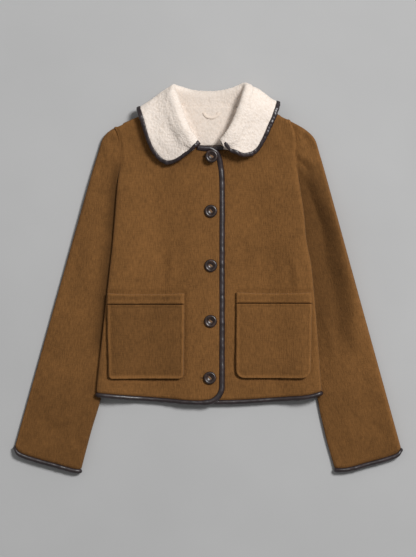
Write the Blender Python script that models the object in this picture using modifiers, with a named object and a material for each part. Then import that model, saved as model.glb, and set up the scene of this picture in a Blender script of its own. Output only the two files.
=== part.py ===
"""A short corded jacket with a fleece collar and leather edges, buttoned and laid flat on its back.

Lengths are in millimetres until a mesh is made. X runs across the jacket, +Y towards the collar and
+Z up from the surface it lies on. Left and right are the wearer's, so the right side is at -X.
"""

import math

import bmesh
import bpy
import numpy as np

MM = 0.001

# Cloth: a corded shell and its fleece lining, handled as one wall.
WALL = 6.0
LAYER_GAP = 1.0
SEAM = 0.3
STACK = 2 * WALL + LAYER_GAP
FOLD_REACH = 9.0
FOLD_ANGLES = (0, 22, 45, 68, 90)

# Edges held in leather: the cloth is pressed thin there.
PRESSED_END = 2.4
BOUND_STEPS = ((PRESSED_END, 1), (8.8, 1), (9.6, 0))
PRESSED = 0.5

# Levels of the laid jacket.
NECK_LIFT = 10.8
SIDE_LIFT = ((22, 13.8), (38, 12.2), (54, 7.6), (70, 2.6), (88, 0.0))
OVERLAP_RISE = ((56, 7.2), (61, 6.3), (71, 0.9), (76, 0.0))
COLLAR_WALL = 7.0

BUTTON_RADIUS = 11.7
BINDING_PROUD = 0.6
POCKET_WALL = 5.0
POCKET_SEAT = 0.8
CORNER_RADIUS = 34.0
FRONT_EDGE_X = 30.0

# Along the right front's edge: where the neckline starts and where its leather ends under the collar.
NECK_START = 400
NECK_BINDING_END = 497
CORNER_STATIONS = 9
EDGE_STATIONS = 8
NECK_STATIONS = 11
FRONT_MIDDLE_X = 60
CHEST_Y = 180

# Outlines. Each row is a point (x, y) on the edge named, hem first, in millimetres.
SIDE_RIGHT = (
    (-203, -217), (-202, -195), (-179, 14), (-173, 69), (-164, 178), (-161, 200),
    (-160, 220), (-162, 251), (-166, 266), (-171, 274),
)
SIDE_LEFT = (
    (207, -214), (206, -195), (189, 14), (179, 69), (175, 114), (167, 168), (163, 200),
    (161, 223), (161, 247), (157, 269), (149, 287),
)
FRONT_RIGHT_EDGE = (
    (30, -231), (30, -100), (30, 60), (30, 170), (28, 200), (21, 226), (8, 237), (-8, 239),
    (-22, 242), (-36, 252), (-49, 268), (-60, 287), (-67, 304), (-71, 317),
)
FRONT_LEFT_EDGE = (
    (-25, -230), (-25, -100), (-25, 60), (-25, 205), (-20, 226), (-6, 236), (8, 237), (22, 240),
    (38, 250), (53, 267), (64, 286), (73, 305), (77, 320),
)
BACK_NECK = ((-71, 317), (-58, 311), (-33, 308), (2, 307), (36, 308), (64, 313), (77, 320))
HEM = (
    (-203, -217), (-182, -219), (-124, -224), (-66, -228), (-38, -230.3), (-10, -231), (12, -231),
    (30, -231), (66, -230), (95, -228), (153, -224), (182, -221), (207, -214),
)
SLEEVE_OUTER_RIGHT = (
    (-354, -315), (-276, -37), (-198, 240), (-194, 253), (-186, 264), (-171.4, 274.3),
)
SLEEVE_OUTER_LEFT = ((354, -318), (278, -43), (202, 233), (195, 254), (178, 271), (149.4, 287.3))
SLEEVE_INNER_RIGHT = (
    (-233, -357), (-213, -281), (-194, -215), (-186, -150), (-167, 14), (-161, 69), (-157, 120),
    (-160, 150), (-165.6, 168), (-161.4, 200),
)
SLEEVE_INNER_LEFT = (
    (233, -355), (213, -284), (198, -212), (191, -150), (177, 14), (168, 69), (163, 114),
    (164, 150), (167.9, 168), (163.4, 200),
)
CUFF_RIGHT = ((-354, -315), (-346, -325), (-313, -337), (-280, -346), (-248, -355), (-233, -357))
CUFF_LEFT = ((354, -318), (346, -327), (324, -335), (291, -344), (258, -353), (233, -355))

# How far up the side (first) the cloth stands level with the front edge (second), as shares.
FRONT_PAIRS = ((0, 0), (0.81, 0.74), (1, 1))
EVEN_PAIRS = ((0, 0), (1, 1))

# Collar sections from the front end to the middle of the back: where the stand is sewn on, where it
# rolls over and where the fall ends (x, y), the roll's rise, how far the fall has turned under
# (0 lies on the fronts, 1 lies under the back) and how much of the seam sits on the fronts.
COLLAR_RIGHT = (
    ((-22, 239), (-20, 246), (-27, 233), 8, 0, 1),
    ((-36, 247), (-29, 256), (-37, 223), 11, 0, 1),
    ((-47, 263), (-37, 270), (-54, 211), 13, 0, 1),
    ((-54, 278), (-43, 285), (-75, 205), 15, 0, 1),
    ((-60, 293), (-48, 298), (-96, 220), 16, 0, 1),
    ((-64, 307), (-52, 311), (-111, 247), 17, 0, 1),
    ((-64, 321), (-56, 324), (-122, 281), 17, 0.12, 0.8),
    ((-63, 325), (-60, 335), (-129, 306), 15, 0.5, 0.45),
    ((-60, 321), (-62, 342), (-119, 293), 10, 0.88, 0.15),
    ((-54, 314), (-54, 341), (-92, 276), 6, 1, 0),
    ((-42, 310), (-42, 336), (-52, 267), 2, 1, 0),
    ((-22, 308.6), (-22, 332), (-25, 265), 0, 1, 0),
    ((1, 308.0), (1, 331), (1, 264), 0, 1, 0),
)
COLLAR_LEFT = (
    ((25, 240), (23, 247), (30, 235), 8, 0, 1),
    ((39, 248), (33, 257), (44, 226), 11, 0, 1),
    ((51, 264), (42, 271), (68, 218), 13, 0, 1),
    ((59, 279), (49, 285), (90, 228), 15, 0, 1),
    ((66, 293), (54, 298), (105, 251), 16, 0, 1),
    ((70, 307), (59, 311), (117, 276), 17, 0, 1),
    ((70, 323), (63, 326), (126, 297), 17, 0.12, 0.8),
    ((69, 328), (66, 338), (130, 316), 15, 0.5, 0.45),
    ((66, 324), (68, 346), (119, 304), 10, 0.88, 0.15),
    ((60, 316), (59, 343), (92, 280), 6, 1, 0),
    ((44, 311), (44, 336), (54, 268), 2, 1, 0),
    ((24, 308.8), (24, 332), (26, 265), 0, 1, 0),
)
NECK_CENTRE = (2, 275)
ROLL_RADIUS = 5.4

# Pockets: left and right edges at the top, the same at the foot, the band's top and seam, the foot.
POCKETS = {
    "right": {
        "top": (-183.5, -43), "foot": (-181, -44), "band_y": -28, "seam_y": -49, "foot_y": -183,
        "corner": 9,
    },
    "left": {
        "top": (51, 188.5), "foot": (50, 186), "band_y": -26.5, "seam_y": -47, "foot_y": -182,
        "corner": 17,
    },
}
BUTTONS = ((6.4, 220), (5.1, 121), (5.1, 22), (4.6, -79), (3.3, -182))

COLOURS = {
    "cord": ((0.165, 0.075, 0.026), 0.9),
    "fleece": ((0.72, 0.62, 0.53), 0.95),
    "leather": ((0.045, 0.028, 0.027), 0.35),
    "horn": ((0.035, 0.018, 0.012), 0.25),
}


def smooth(value, low, high):
    """0 below low, 1 above high and a soft step between them."""
    share = np.clip((value - low) / (high - low), 0, 1)
    return share * share * (3 - 2 * share)


def table(rows, value):
    """The second column of a table, read at a value of the first."""
    columns = list(zip(*rows))
    return np.interp(value, columns[0], columns[1])


class Path:
    """A smooth line through the points of a table, read by the length along it."""

    def __init__(self, points, samples=20):
        keys = np.array(points, float)
        steps = np.linalg.norm(np.diff(keys, axis=0), axis=1)
        knots = np.concatenate([[0], np.cumsum(steps)])
        slopes = np.empty_like(keys)
        slopes[1:-1] = (keys[2:] - keys[:-2]) / (knots[2:] - knots[:-2])[:, None]
        slopes[0], slopes[-1] = (keys[1] - keys[0]) / steps[0], (keys[-1] - keys[-2]) / steps[-1]
        found = [keys[:1]]
        for k, step in enumerate(steps):
            t = np.linspace(0, 1, samples + 1)[1:, None]
            found.append(
                keys[k] * (1 + 2 * t) * (1 - t) ** 2
                + slopes[k] * step * t * (1 - t) ** 2
                + keys[k + 1] * t * t * (3 - 2 * t)
                + slopes[k + 1] * step * t * t * (t - 1)
            )
        self.points = np.concatenate(found)
        lengths = np.linalg.norm(np.diff(self.points, axis=0), axis=1)
        self.marks = np.concatenate([[0], np.cumsum(lengths)])
        self.length = self.marks[-1]

    def at(self, distance):
        """The point this far along the line."""
        return np.array([np.interp(distance, self.marks, axis) for axis in self.points.T])

    def share(self, share):
        """The point at a share of the line's length."""
        return self.at(share * self.length)

    def inward(self, distance, centre):
        """The unit normal in plan, on the side of the point centre."""
        ahead = self.at(min(distance + 2, self.length)) - self.at(max(distance - 2, 0))
        normal = np.array([-ahead[1], ahead[0]]) / np.hypot(*ahead[:2])
        return normal if normal @ (np.array(centre) - self.at(distance)) > 0 else -normal

    def x_at(self, y):
        return np.interp(y, self.points[:, 1], self.points[:, 0])

    def y_at(self, x):
        return np.interp(x, self.points[:, 0], self.points[:, 1])


side_right = Path(SIDE_RIGHT)
side_left = Path(SIDE_LEFT)
front_right_edge = Path(FRONT_RIGHT_EDGE)
front_left_edge = Path(FRONT_LEFT_EDGE)
back_neck = Path(BACK_NECK)
hem = Path(HEM)


def base_level(x, y):
    """The height of the back's underside: raised over the sleeves' edges and over the collar's fall."""
    neck = np.hypot((x - 2) / 134, (y - 322) / 74)
    lift = NECK_LIFT * (1 - smooth(neck, 1, 1.75))
    inside = min(x - side_right.x_at(y), side_left.x_at(y) - x)
    return lift + table(SIDE_LIFT, inside) * (1 - smooth(y, 160, 206))


def overlap_level(x):
    """How far the right front stands up where it lies over the left one."""
    return table(OVERLAP_RISE, FRONT_EDGE_X - x)


def front_inward(edge, distance, middle_x):
    """The direction from a front's edge or neckline into its cloth."""
    middle_y = CHEST_Y if distance > NECK_START else edge.at(distance)[1]
    return edge.inward(distance, (middle_x, middle_y))


def front_level(x, y, right):
    """The height of a front's outer face."""
    return base_level(x, y) + STACK + (overlap_level(x) if right else 0)


class Step:
    """A row or a column of a panel: from its low edge, its high edge, or a share between them."""

    def __init__(self, edge, share=0.0, angle=90.0, distance=0.0, pressed=0, knot=False):
        self.edge = edge
        self.share = share
        self.angle = math.radians(angle)
        self.distance = distance
        self.pressed = pressed
        self.knot = knot

    def inset(self, depth, fold):
        """How far in from its edge this step lies, and the height left there by the fold, 0 to 1."""
        if self.distance:
            return self.distance, 1.0
        start = depth * fold * WALL
        inset = start + (FOLD_REACH - start) * (1 - math.cos(self.angle))
        return inset, 1 - fold * (1 - math.sin(self.angle))


def steps(shares, low, high, low_knots=(), high_knots=()):
    """The steps across a panel. low and high say fold, bound or cut, and knots lie further in."""
    found = []
    for edge, kind, knots in (("low", low, low_knots), ("high", high, high_knots)):
        if kind == "fold":
            rim = [Step(edge, angle=angle) for angle in FOLD_ANGLES]
        elif kind == "bound":
            rim = [Step(edge, distance=distance, pressed=pressed) for distance, pressed in BOUND_STEPS]
        else:
            rim = [Step(edge, distance=0.01)]
        rim += [Step(edge, distance=distance, knot=True) for distance in sorted(knots)]
        found.append(rim if edge == "low" else rim[::-1])
    return found[0] + [Step("middle", share=share) for share in shares] + found[1]


class Panel:
    """A piece of the body: rows from its outer edge to its inner edge, walls and folds added to them.

    lower is True for the back, whose folds turn up. across and along are the lists of steps.
    """

    def __init__(self, edges, pairs, across, along, lower=False, right=False, top=None):
        self.low_edge, self.high_edge = edges
        self.pairs = np.array(pairs, float)
        self.across, self.along = across, along
        self.lower, self.right, self.top = lower, right, top

    @staticmethod
    def margin(edge, rim, scale=1.0):
        """How far in from an edge its own steps reach."""
        steps_there = [step for step in rim if step.edge == edge]
        return max((step.distance or FOLD_REACH) * (scale if step.knot else 1) for step in steps_there)

    def marks(self, row, depth, fold):
        """The lengths along both edges at which this row starts and ends."""
        inset, rise = row.inset(depth, fold)
        if row.edge == "low":
            return inset, inset, rise
        if row.edge == "high":
            return self.low_edge.length - inset, self.high_edge.length - inset, rise
        margin_low, margin_high = (self.margin(edge, self.along) for edge in ("low", "high"))
        other = np.interp(row.share, self.pairs[:, 0], self.pairs[:, 1])
        found = [
            margin_low + share * (edge.length - margin_low - margin_high)
            for share, edge in ((row.share, self.low_edge), (other, self.high_edge))
        ]
        return found[0], found[1], rise

    def side_fold(self, y):
        """1 where front and back fold into each other at the side, 0 along the armhole."""
        return 1 - smooth(y, 196, 216)

    def top_fold(self, x):
        """1 along the shoulders, 0 along the back of the neck."""
        if not self.lower:
            return 1.0
        start, end = BACK_NECK[0][0], BACK_NECK[-1][0]
        return 1 - smooth(x, start - 2, start + 8) * (1 - smooth(x, end - 8, end + 2))

    def plan(self, row, column, depth):
        """x, y and the height left by the folds."""
        top_fold = 1.0
        if self.lower and row.edge == "high":
            ends = self.low_edge.share(1), self.high_edge.share(1)
            rough = {"low": 0.0, "high": 1.0}.get(column.edge, column.share)
            top_fold = self.top_fold(ends[0][0] + (ends[1][0] - ends[0][0]) * rough)
        start, end, rise_along = self.marks(row, depth, top_fold)
        low, high = self.low_edge.at(start), self.high_edge.at(end)
        chord = high - low
        width = np.hypot(*chord)
        across = chord / width
        low_in, high_in = across, -across
        if self.across[-1].pressed or self.right:
            high_in = front_inward(self.high_edge, end, -FRONT_MIDDLE_X if self.right else FRONT_MIDDLE_X)
        scale = min(1, width / FULL_WIDTH / (2 if self.lower else 1))
        knot_scale = scale if column.knot else 1
        if column.edge == "low":
            inset, rise_across = column.inset(depth, self.side_fold(low[1]))
            point = low + low_in * inset * knot_scale
        elif column.edge == "high":
            fold = self.side_fold(high[1]) if self.lower else 0.0
            inset, rise_across = column.inset(depth, fold)
            near = min(inset, BOUND_STEPS[-1][0])
            point = high + high_in * near - across * (inset - near) * knot_scale
        else:
            rise_across = 1.0
            first = low + low_in * self.margin("low", self.across, scale)
            near = BOUND_STEPS[-1][0]
            last = high + high_in * near - across * (self.margin("high", self.across) - near) * scale
            point = first + (last - first) * column.share
        share = np.clip((point - low) @ across / width, 0, 1)
        fade = (1 - start / self.low_edge.length) ** 3
        flat = self.low_edge.at(0) + (self.high_edge.at(0) - self.low_edge.at(0)) * share
        point = point + np.array([0, hem.y_at(flat[0]) - flat[1]]) * fade
        if self.top is not None:
            fade = smooth(start / self.low_edge.length, 0.7, 0.97)
            flat = self.low_edge.share(1) + (self.high_edge.share(1) - self.low_edge.share(1)) * share
            point = point + (self.top(share) - flat) * fade
        return point, rise_along * rise_across

    def at(self, row, column, depth):
        """A point in the wall, 0 at its outer face and 1 at its inner face."""
        if column.pressed or row.pressed:
            depth = 0.5 + (depth - 0.5) * PRESSED
        (x, y), rise = self.plan(row, column, depth)
        if self.right:
            x, y = round_corner(x, y)
        half = (STACK / 2 - depth * WALL - SEAM / 2) * rise + SEAM / 2
        middle = base_level(x, y) + STACK / 2 + (overlap_level(x) if self.right else 0)
        return x, y, middle + (-half if self.lower else half)


def round_corner(x, y):
    """Turns the square corner at the foot of the front edge into a round one, ring by ring."""
    foot = hem.y_at(FRONT_EDGE_X)
    from_edge = x - (FRONT_EDGE_X - CORNER_RADIUS)
    from_hem = (foot + CORNER_RADIUS) - y
    if from_edge <= 0 or from_hem <= 0:
        return x, y
    ring = max(from_edge, from_hem)
    other = min(from_edge, from_hem)
    turn = math.pi / 4 * other / ring
    if from_hem > from_edge:
        turn = math.pi / 2 - turn
    middle_x, middle_y = FRONT_EDGE_X - CORNER_RADIUS, foot + CORNER_RADIUS
    return middle_x + ring * math.cos(turn), middle_y - ring * math.sin(turn)


# Meshes.


def finish(name, bm, collection, material):
    """Makes the object from its mesh, given in millimetres, with its faces turned outwards."""
    bmesh.ops.recalc_face_normals(bm, faces=bm.faces)
    if bm.calc_volume(signed=True) < 0:
        bmesh.ops.reverse_faces(bm, faces=bm.faces)
    bmesh.ops.scale(bm, vec=(MM, MM, MM), verts=bm.verts)
    mesh = bpy.data.meshes.new(name)
    bm.to_mesh(mesh)
    bm.free()
    mesh.shade_smooth()
    mesh.set_sharp_from_angle(angle=math.radians(50))
    mesh.materials.append(material)
    piece = bpy.data.objects.new(name, mesh)
    collection.objects.link(piece)
    return piece


def grid_spots(bm, columns, rows):
    """The column and the row of each vertex of a unit grid."""
    return {v: (round((v.co.x + 0.5) * columns), round((v.co.y + 0.5) * rows)) for v in bm.verts}


def wall_mesh(columns, rows, place, ring=False):
    """A closed wall over a grid. place(column, row, depth) gives each point; a ring joins its columns."""
    bm = bmesh.new()
    bmesh.ops.create_grid(bm, x_segments=columns - 1, y_segments=rows - 1, size=0.5)
    spots = grid_spots(bm, columns - 1, rows - 1)
    if ring:
        first = {row: v for v, (column, row) in spots.items() if column == 0}
        joins = {v: first[row] for v, (column, row) in spots.items() if column == columns - 1}
        spots = {v: spot for v, spot in spots.items() if v not in joins}
        bmesh.ops.weld_verts(bm, targetmap=joins)
    inner = list(bm.verts)
    keys = [spots[v] for v in inner]
    for number, vert in enumerate(inner):
        vert.co.z = number
    made = bmesh.ops.extrude_face_region(bm, geom=bm.faces[:])
    for vert in (item for item in made["geom"] if isinstance(item, bmesh.types.BMVert)):
        vert.co = place(*keys[round(vert.co.z)], 0.0)
    for vert, key in zip(inner, keys):
        vert.co = place(*key, 1.0)
    return bm


def tube_mesh(rings, loop=False):
    """A closed tube through rings of points, its ends filled unless it meets itself."""
    count, around = len(rings), len(rings[0])
    rows = count if loop else count - 1
    bm = bmesh.new()
    bmesh.ops.create_grid(bm, x_segments=around, y_segments=rows, size=0.5)
    spots = grid_spots(bm, around, rows)
    first = {spot: v for v, spot in spots.items()}
    joins = {}
    for v, (column, row) in spots.items():
        home = (column % around, row % count if loop else row)
        if home != (column, row):
            joins[v] = first[home]
        else:
            v.co = rings[row][column]
    bmesh.ops.weld_verts(bm, targetmap=joins)
    if not loop:
        bmesh.ops.holes_fill(bm, edges=[e for e in bm.edges if e.is_boundary], sides=0)
    return bm


# Pieces.

FULL_WIDTH = 190
ROW_SHARES = (0.14, 0.3, 0.46, 0.6, 0.68) + tuple(0.72 + 0.02 * k for k in range(14))
HEM_KNOTS = (17, 26, 34)
SIDE_KNOTS = tuple(row[0] for row in SIDE_LIFT)
OVERLAP_KNOTS = tuple(row[0] for row in OVERLAP_RISE)

BINDING_SECTION = (
    (8.4, -0.05), (3.0, -0.12), (0.2, 0.25), (0.2, 0.75), (2.0, 1.0), (8.4, 1.0), (8.4, 0.88), (1.6, 0.8),
    (1.6, 0.2), (8.4, 0.11),
)


def back_top(share):
    """The back's upper edge: a shoulder, the neck and the other shoulder."""
    tips = side_right.share(1), side_left.share(1)
    x = tips[0][0] + (tips[1][0] - tips[0][0]) * share
    if x < BACK_NECK[0][0]:
        part = (x - tips[0][0]) / (BACK_NECK[0][0] - tips[0][0])
        return tips[0] + (np.array(BACK_NECK[0]) - tips[0]) * part
    if x > BACK_NECK[-1][0]:
        part = (x - BACK_NECK[-1][0]) / (tips[1][0] - BACK_NECK[-1][0])
        return np.array(BACK_NECK[-1]) + (tips[1] - np.array(BACK_NECK[-1])) * part
    return np.array([x, back_neck.y_at(x)])


def body_panels():
    """The two fronts and the back, with the columns and rows that their bends call for."""
    along = steps(ROW_SHARES, "bound", "fold", HEM_KNOTS)
    across = steps((0.5,), "fold", "bound", SIDE_KNOTS, OVERLAP_KNOTS + HEM_KNOTS)
    edges = side_right, front_right_edge
    front_right = Panel(edges, FRONT_PAIRS, across, along, right=True)
    across = steps((0.25, 0.5, 0.75), "fold", "cut", SIDE_KNOTS, (12,))
    edges = side_left, front_left_edge
    front_left = Panel(edges, FRONT_PAIRS, across, along)
    shares = tuple(k / 7 for k in range(1, 7))
    across = steps(shares, "fold", "fold", SIDE_KNOTS, SIDE_KNOTS)
    back = Panel((side_right, side_left), EVEN_PAIRS, across, along, lower=True, top=back_top)
    return {"front_right": front_right, "front_left": front_left, "back": back}


def panel_mesh(panel):
    def place(column, row, depth):
        return panel.at(panel.along[row], panel.across[column], depth)

    return wall_mesh(len(panel.across), len(panel.along), place)


def hem_ring(panel, column):
    """The binding's section at one column of a panel's hem."""
    plain = Step(column.edge, column.share, math.degrees(column.angle), column.distance, knot=column.knot)
    ring = [(w, max(depth, 0.0) if panel.lower else depth) for w, depth in BINDING_SECTION]
    return [panel.at(Step("low", distance=w), plain, depth) for w, depth in ring]


def edge_ring(point, inward):
    """The binding's section at a point of the right front's free edge."""
    ring = []
    for w, depth in BINDING_SECTION:
        x, y = point + inward * w
        ring.append((x, y, front_level(x, y, True) - depth * WALL))
    return ring


def front_binding_rings(panel):
    """Along the hem from the side seam, round the corner, up the front edge and along the neck."""
    rings = []
    for column in panel.across:
        x = panel.at(Step("low", distance=1), column, 0)[0]
        if x < FRONT_EDGE_X - CORNER_RADIUS - 4:
            rings.append(hem_ring(panel, column))
    centre = np.array([FRONT_EDGE_X - CORNER_RADIUS, hem.y_at(FRONT_EDGE_X) + CORNER_RADIUS])
    for k in range(CORNER_STATIONS):
        turn = math.pi / 2 * (k / (CORNER_STATIONS - 1) - 1)
        out = np.array([math.cos(turn), math.sin(turn)])
        rings.append(edge_ring(centre + out * CORNER_RADIUS, -out))
    straight = np.linspace(CORNER_RADIUS + 20, NECK_START, EDGE_STATIONS)
    neckline = np.linspace(NECK_START + 12, NECK_BINDING_END, NECK_STATIONS)
    for distance in np.concatenate([straight, neckline]):
        inward = front_inward(front_right_edge, distance, -FRONT_MIDDLE_X)
        rings.append(edge_ring(front_right_edge.at(distance), inward))
    return rings


ARMHOLE_FOOT_Y = 199.5


def armhole_of(body_side):
    """The part of a body side that a sleeve is sewn to."""
    return Path(body_side.points[body_side.points[:, 1] > ARMHOLE_FOOT_Y], 1)


SLEEVES = {
    "right": (Path(SLEEVE_OUTER_RIGHT), Path(SLEEVE_INNER_RIGHT), Path(CUFF_RIGHT), armhole_of(side_right)),
    "left": (Path(SLEEVE_OUTER_LEFT), Path(SLEEVE_INNER_LEFT), Path(CUFF_LEFT), armhole_of(side_left)),
}
SLEEVE_ACROSS = steps(tuple(k / 6 for k in range(1, 6)), "fold", "fold")


def sleeve_point(side, row, column, depth, lower):
    """A point of a sleeve. row is a length from the cuff and a share of the rest to the armhole."""
    outer, inner, cuff, armhole = SLEEVES[side]
    length, share = row
    low = outer.at(length + share * (outer.length - length))
    high = inner.at(length + share * (inner.length - length))
    chord = high - low
    width = np.hypot(*chord)
    across = chord / width
    inset, rise = column.inset(depth, 1.0)
    if column.edge == "low":
        point = low + across * inset
    elif column.edge == "high":
        point = high - across * inset
    else:
        point = low + across * (FOLD_REACH + (width - 2 * FOLD_REACH) * column.share)
    place = np.clip((point - low) @ across / width, 0, 1)
    flat = outer.at(0) + (inner.at(0) - outer.at(0)) * place
    point = point + (cuff.share(place) - flat) * (1 - share) ** 4
    seam = armhole.share(1 - place)
    seam[0] += -SEAM if side == "right" else SEAM
    flat = outer.share(1) + (inner.share(1) - outer.share(1)) * place
    point = point + (seam - flat) * smooth(share, 0.8, 1.0)
    half = (STACK / 2 - depth * WALL) * rise
    return point[0], point[1], STACK / 2 + (-half if lower else half)


def sleeve_ring():
    """Each column of a sleeve's ring with whether it is in the lower layer, once round."""
    upper = [(column, False) for column in SLEEVE_ACROSS]
    lower = [(column, True) for column in SLEEVE_ACROSS[-2:0:-1]]
    return upper + lower


SLEEVE_SHARES = (0.05, 0.15, 0.3, 0.5, 0.64, 0.73, 0.79, 0.84, 0.88, 0.92, 0.96, 1)
SLEEVE_ROWS = [(distance, 0, pressed) for distance, pressed in BOUND_STEPS]
SLEEVE_ROWS += [(BOUND_STEPS[-1][0], share, 0) for share in SLEEVE_SHARES]


def sleeve_mesh(side):
    """A sleeve laid flat: one wall all the way round, open at both ends."""
    around = sleeve_ring()

    def place(column, row, depth):
        length, share, pressed = SLEEVE_ROWS[row]
        if pressed:
            depth = 0.5 + (depth - 0.5) * PRESSED
        step, lower = around[column % len(around)]
        return sleeve_point(side, (length, share), step, depth, lower)

    return wall_mesh(len(around) + 1, len(SLEEVE_ROWS), place, ring=True)


def cuff_rings(side):
    """The binding's section at each column of a sleeve's ring."""
    rings = []
    for step, lower in sleeve_ring():
        ring = [(w, max(depth, 0.0) if lower else depth) for w, depth in BINDING_SECTION]
        rings.append([sleeve_point(side, (w, 0), step, depth, lower) for w, depth in ring])
    return rings


COLLAR_SEAT = 3.6
KNEE_REACH = 9
SECTION_SAMPLES = 6
ROLL_START, ROLL_END = 2, 4  # the places in a section's line of the stand's end and the roll's end
STAND_SHARES = (0, 0.45, 0.8)
FALL_SHARES = (0.2, 0.45, 0.72, 1.0)
FALL_COLUMN, EDGE_COLUMN = 8, 10
SOFTENINGS = 2
ROLL_THINNING = ((1, 1.0), (3, 0.55), (7, 0.55), (9, 1.0))  # by column: the fleece is squeezed in the roll
COLLAR_ROWS = 40
ROW_SAMPLES = 12
COLLAR_CLEAR = 1.7
UNBOUND_ROWS = 2


def collar_sections():
    """The middle of the collar's wall: one smooth line of points for each section, front to front."""
    rows = [row + (True,) for row in COLLAR_RIGHT] + [row + (False,) for row in COLLAR_LEFT[::-1]]
    sections = []
    back_seam_z = NECK_LIFT + COLLAR_WALL / 2
    for seam, roll, edge, rise, turned, seated, right in rows:
        outward = np.array(seam) - np.array(NECK_CENTRE)
        outward = outward / np.hypot(*outward)
        seat_z = front_level(*seam, right) + COLLAR_SEAT
        foot = np.array([*seam, back_seam_z + (seat_z - back_seam_z) * seated])
        top = np.array([*roll, foot[2] + rise])
        stand = top - foot
        stand_dir = stand / np.linalg.norm(stand)
        lean = stand[:2] @ outward
        over = np.array([*(outward * stand[2]), -lean])
        over = over / np.linalg.norm(over)
        crest = top + ROLL_RADIUS * (stand_dir + over)
        down = top + 2 * ROLL_RADIUS * over
        half = COLLAR_WALL / 2 + 1.0
        middle = base_level(*edge) + STACK / 2
        reach = STACK / 2 + half
        edge_z = max(middle + reach * math.cos(math.pi * turned), COLLAR_WALL / 2)
        if turned < 0.3:
            edge_z = max(edge_z, front_level(*edge, right) + half)
        end = np.array([*edge, edge_z])
        knee = down - stand_dir * min(KNEE_REACH, np.linalg.norm(end - down) * 0.3)
        line = [foot, foot + stand * 0.5, top, crest, down, knee]
        for share in (0.3, 0.6):
            spot = knee + (end - knee) * share
            if turned < 0.3:
                level = front_level(spot[0], spot[1], right) + half
                spot[2] = max(level, spot[2] * (1 - share) + end[2] * share)
            elif turned > 0.95:
                spot[2] = COLLAR_WALL / 2
            line.append(spot)
        line.append(end)
        sections.append(Path(line, SECTION_SAMPLES))
    return sections


def collar_grid():
    """Points in the middle of the collar's wall and the wall's direction there."""
    sections = collar_sections()
    count = len(sections)
    lines = []
    for section in sections:
        stand_end = section.marks[ROLL_START * SECTION_SAMPLES]
        roll_end = section.marks[ROLL_END * SECTION_SAMPLES]
        fall = section.length - roll_end - BOUND_STEPS[-1][0]
        found = [stand_end * share for share in STAND_SHARES]
        found += list(np.linspace(stand_end, roll_end, 5))
        found += [roll_end + fall * share for share in FALL_SHARES]
        found += [section.length - distance for distance, pressed in BOUND_STEPS[-2::-1]]
        lines.append([section.at(mark) for mark in found])
    lines = np.array(lines)
    rows = np.linspace(0, count - 1, COLLAR_ROWS)
    dense = np.array([Path(lines[:, j], ROW_SAMPLES).points for j in range(lines.shape[1])])
    picks = np.round(rows * ROW_SAMPLES).astype(int)
    middle = dense[:, picks].transpose(1, 0, 2)
    for _ in range(SOFTENINGS):
        soft = middle[:, :EDGE_COLUMN]
        soft[1:-1] += (soft[:-2] - 2 * soft[1:-1] + soft[2:]) / 4
    turned = [row[4] for row in COLLAR_RIGHT] + [row[4] for row in COLLAR_LEFT[::-1]]
    turned = np.interp(rows, range(count), turned)
    for _ in range(3):
        normal = grid_normals(middle)
        for row, turn in enumerate(turned):
            for column in range(FALL_COLUMN, middle.shape[1]):
                clear_body(middle[row, column], normal[row, column], turn)
    return middle, grid_normals(middle)


def grid_normals(middle):
    """The direction through the collar's wall at each of its points."""
    normal = np.cross(np.gradient(middle, axis=0), np.gradient(middle, axis=1))
    return normal / np.linalg.norm(normal, axis=2)[:, :, None]


def clear_body(point, normal, turned):
    """Moves a point of the fall up off the fronts, or down from the back, by what its wall needs."""
    faces = [point + normal * side * COLLAR_WALL / 2 for side in (-1, 1)]
    if turned < 0.35:
        low = min(faces, key=lambda face: face[2])
        point[2] += max(0, front_level(low[0], low[1], point[0] < 0) + COLLAR_CLEAR - low[2])
    elif turned > 0.65:
        high = max(faces, key=lambda face: face[2])
        point[2] -= max(0, high[2] - base_level(high[0], high[1]) + SEAM)
    lowest = point[2] - abs(normal[2]) * COLLAR_WALL / 2
    point[2] += max(0, 0.1 - lowest)


def collar_mesh():
    middle, normal = collar_grid()
    last = middle.shape[1] - 1

    def place(column, row, depth):
        pressed = PRESSED if column >= last - 1 else table(ROLL_THINNING, column)
        return tuple(middle[row, column] + normal[row, column] * (depth - 0.5) * COLLAR_WALL * pressed)

    return wall_mesh(middle.shape[1], middle.shape[0], place)


def collar_binding_rings():
    """The binding's section round the fall's free edge, short of the two front ends."""
    middle, normal = collar_grid()
    rings = []
    for row in range(UNBOUND_ROWS, middle.shape[0] - UNBOUND_ROWS):
        inward = middle[row, -2] - middle[row, -1]
        inward = inward / np.linalg.norm(inward)
        edge = middle[row, -1] - inward * PRESSED_END
        through = normal[row, -1] * COLLAR_WALL
        section = [(w, max(depth, 0.0)) for w, depth in BINDING_SECTION]
        rings.append([edge + inward * w + through * (depth - 0.5) for w, depth in section])
    return rings


LINING_Y = (247, 302)
LINING_WALL = 3.0
LINING_INSET = 1.5
LINING_GRID = (9, 7)
LOOP_CENTRE = (6, 300)
LOOP_REACH = (13, 9)
LOOP_STATIONS = 13
LOOP_SECTION = ((-2.5, 0), (2.5, 0), (2.5, 1.4), (-2.5, 1.4))


def neck_x(edge, y):
    """Where a front's neckline stands at this height."""
    line = edge.points[edge.points[:, 1] > LINING_Y[0] - 8]
    return np.interp(y, line[:, 1], line[:, 0])


def lining_mesh():
    """The fleece of the back that shows inside the neck."""
    columns, rows = LINING_GRID

    def place(column, row, depth):
        y = LINING_Y[0] + (LINING_Y[1] - LINING_Y[0]) * row / (rows - 1)
        low = neck_x(front_right_edge, y) + LINING_INSET
        high = neck_x(front_left_edge, y) - LINING_INSET
        x = low + (high - low) * column / (columns - 1)
        return x, y, base_level(x, y) + WALL + SEAM + LINING_WALL * (1 - depth)

    return wall_mesh(columns, rows, place)


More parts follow.
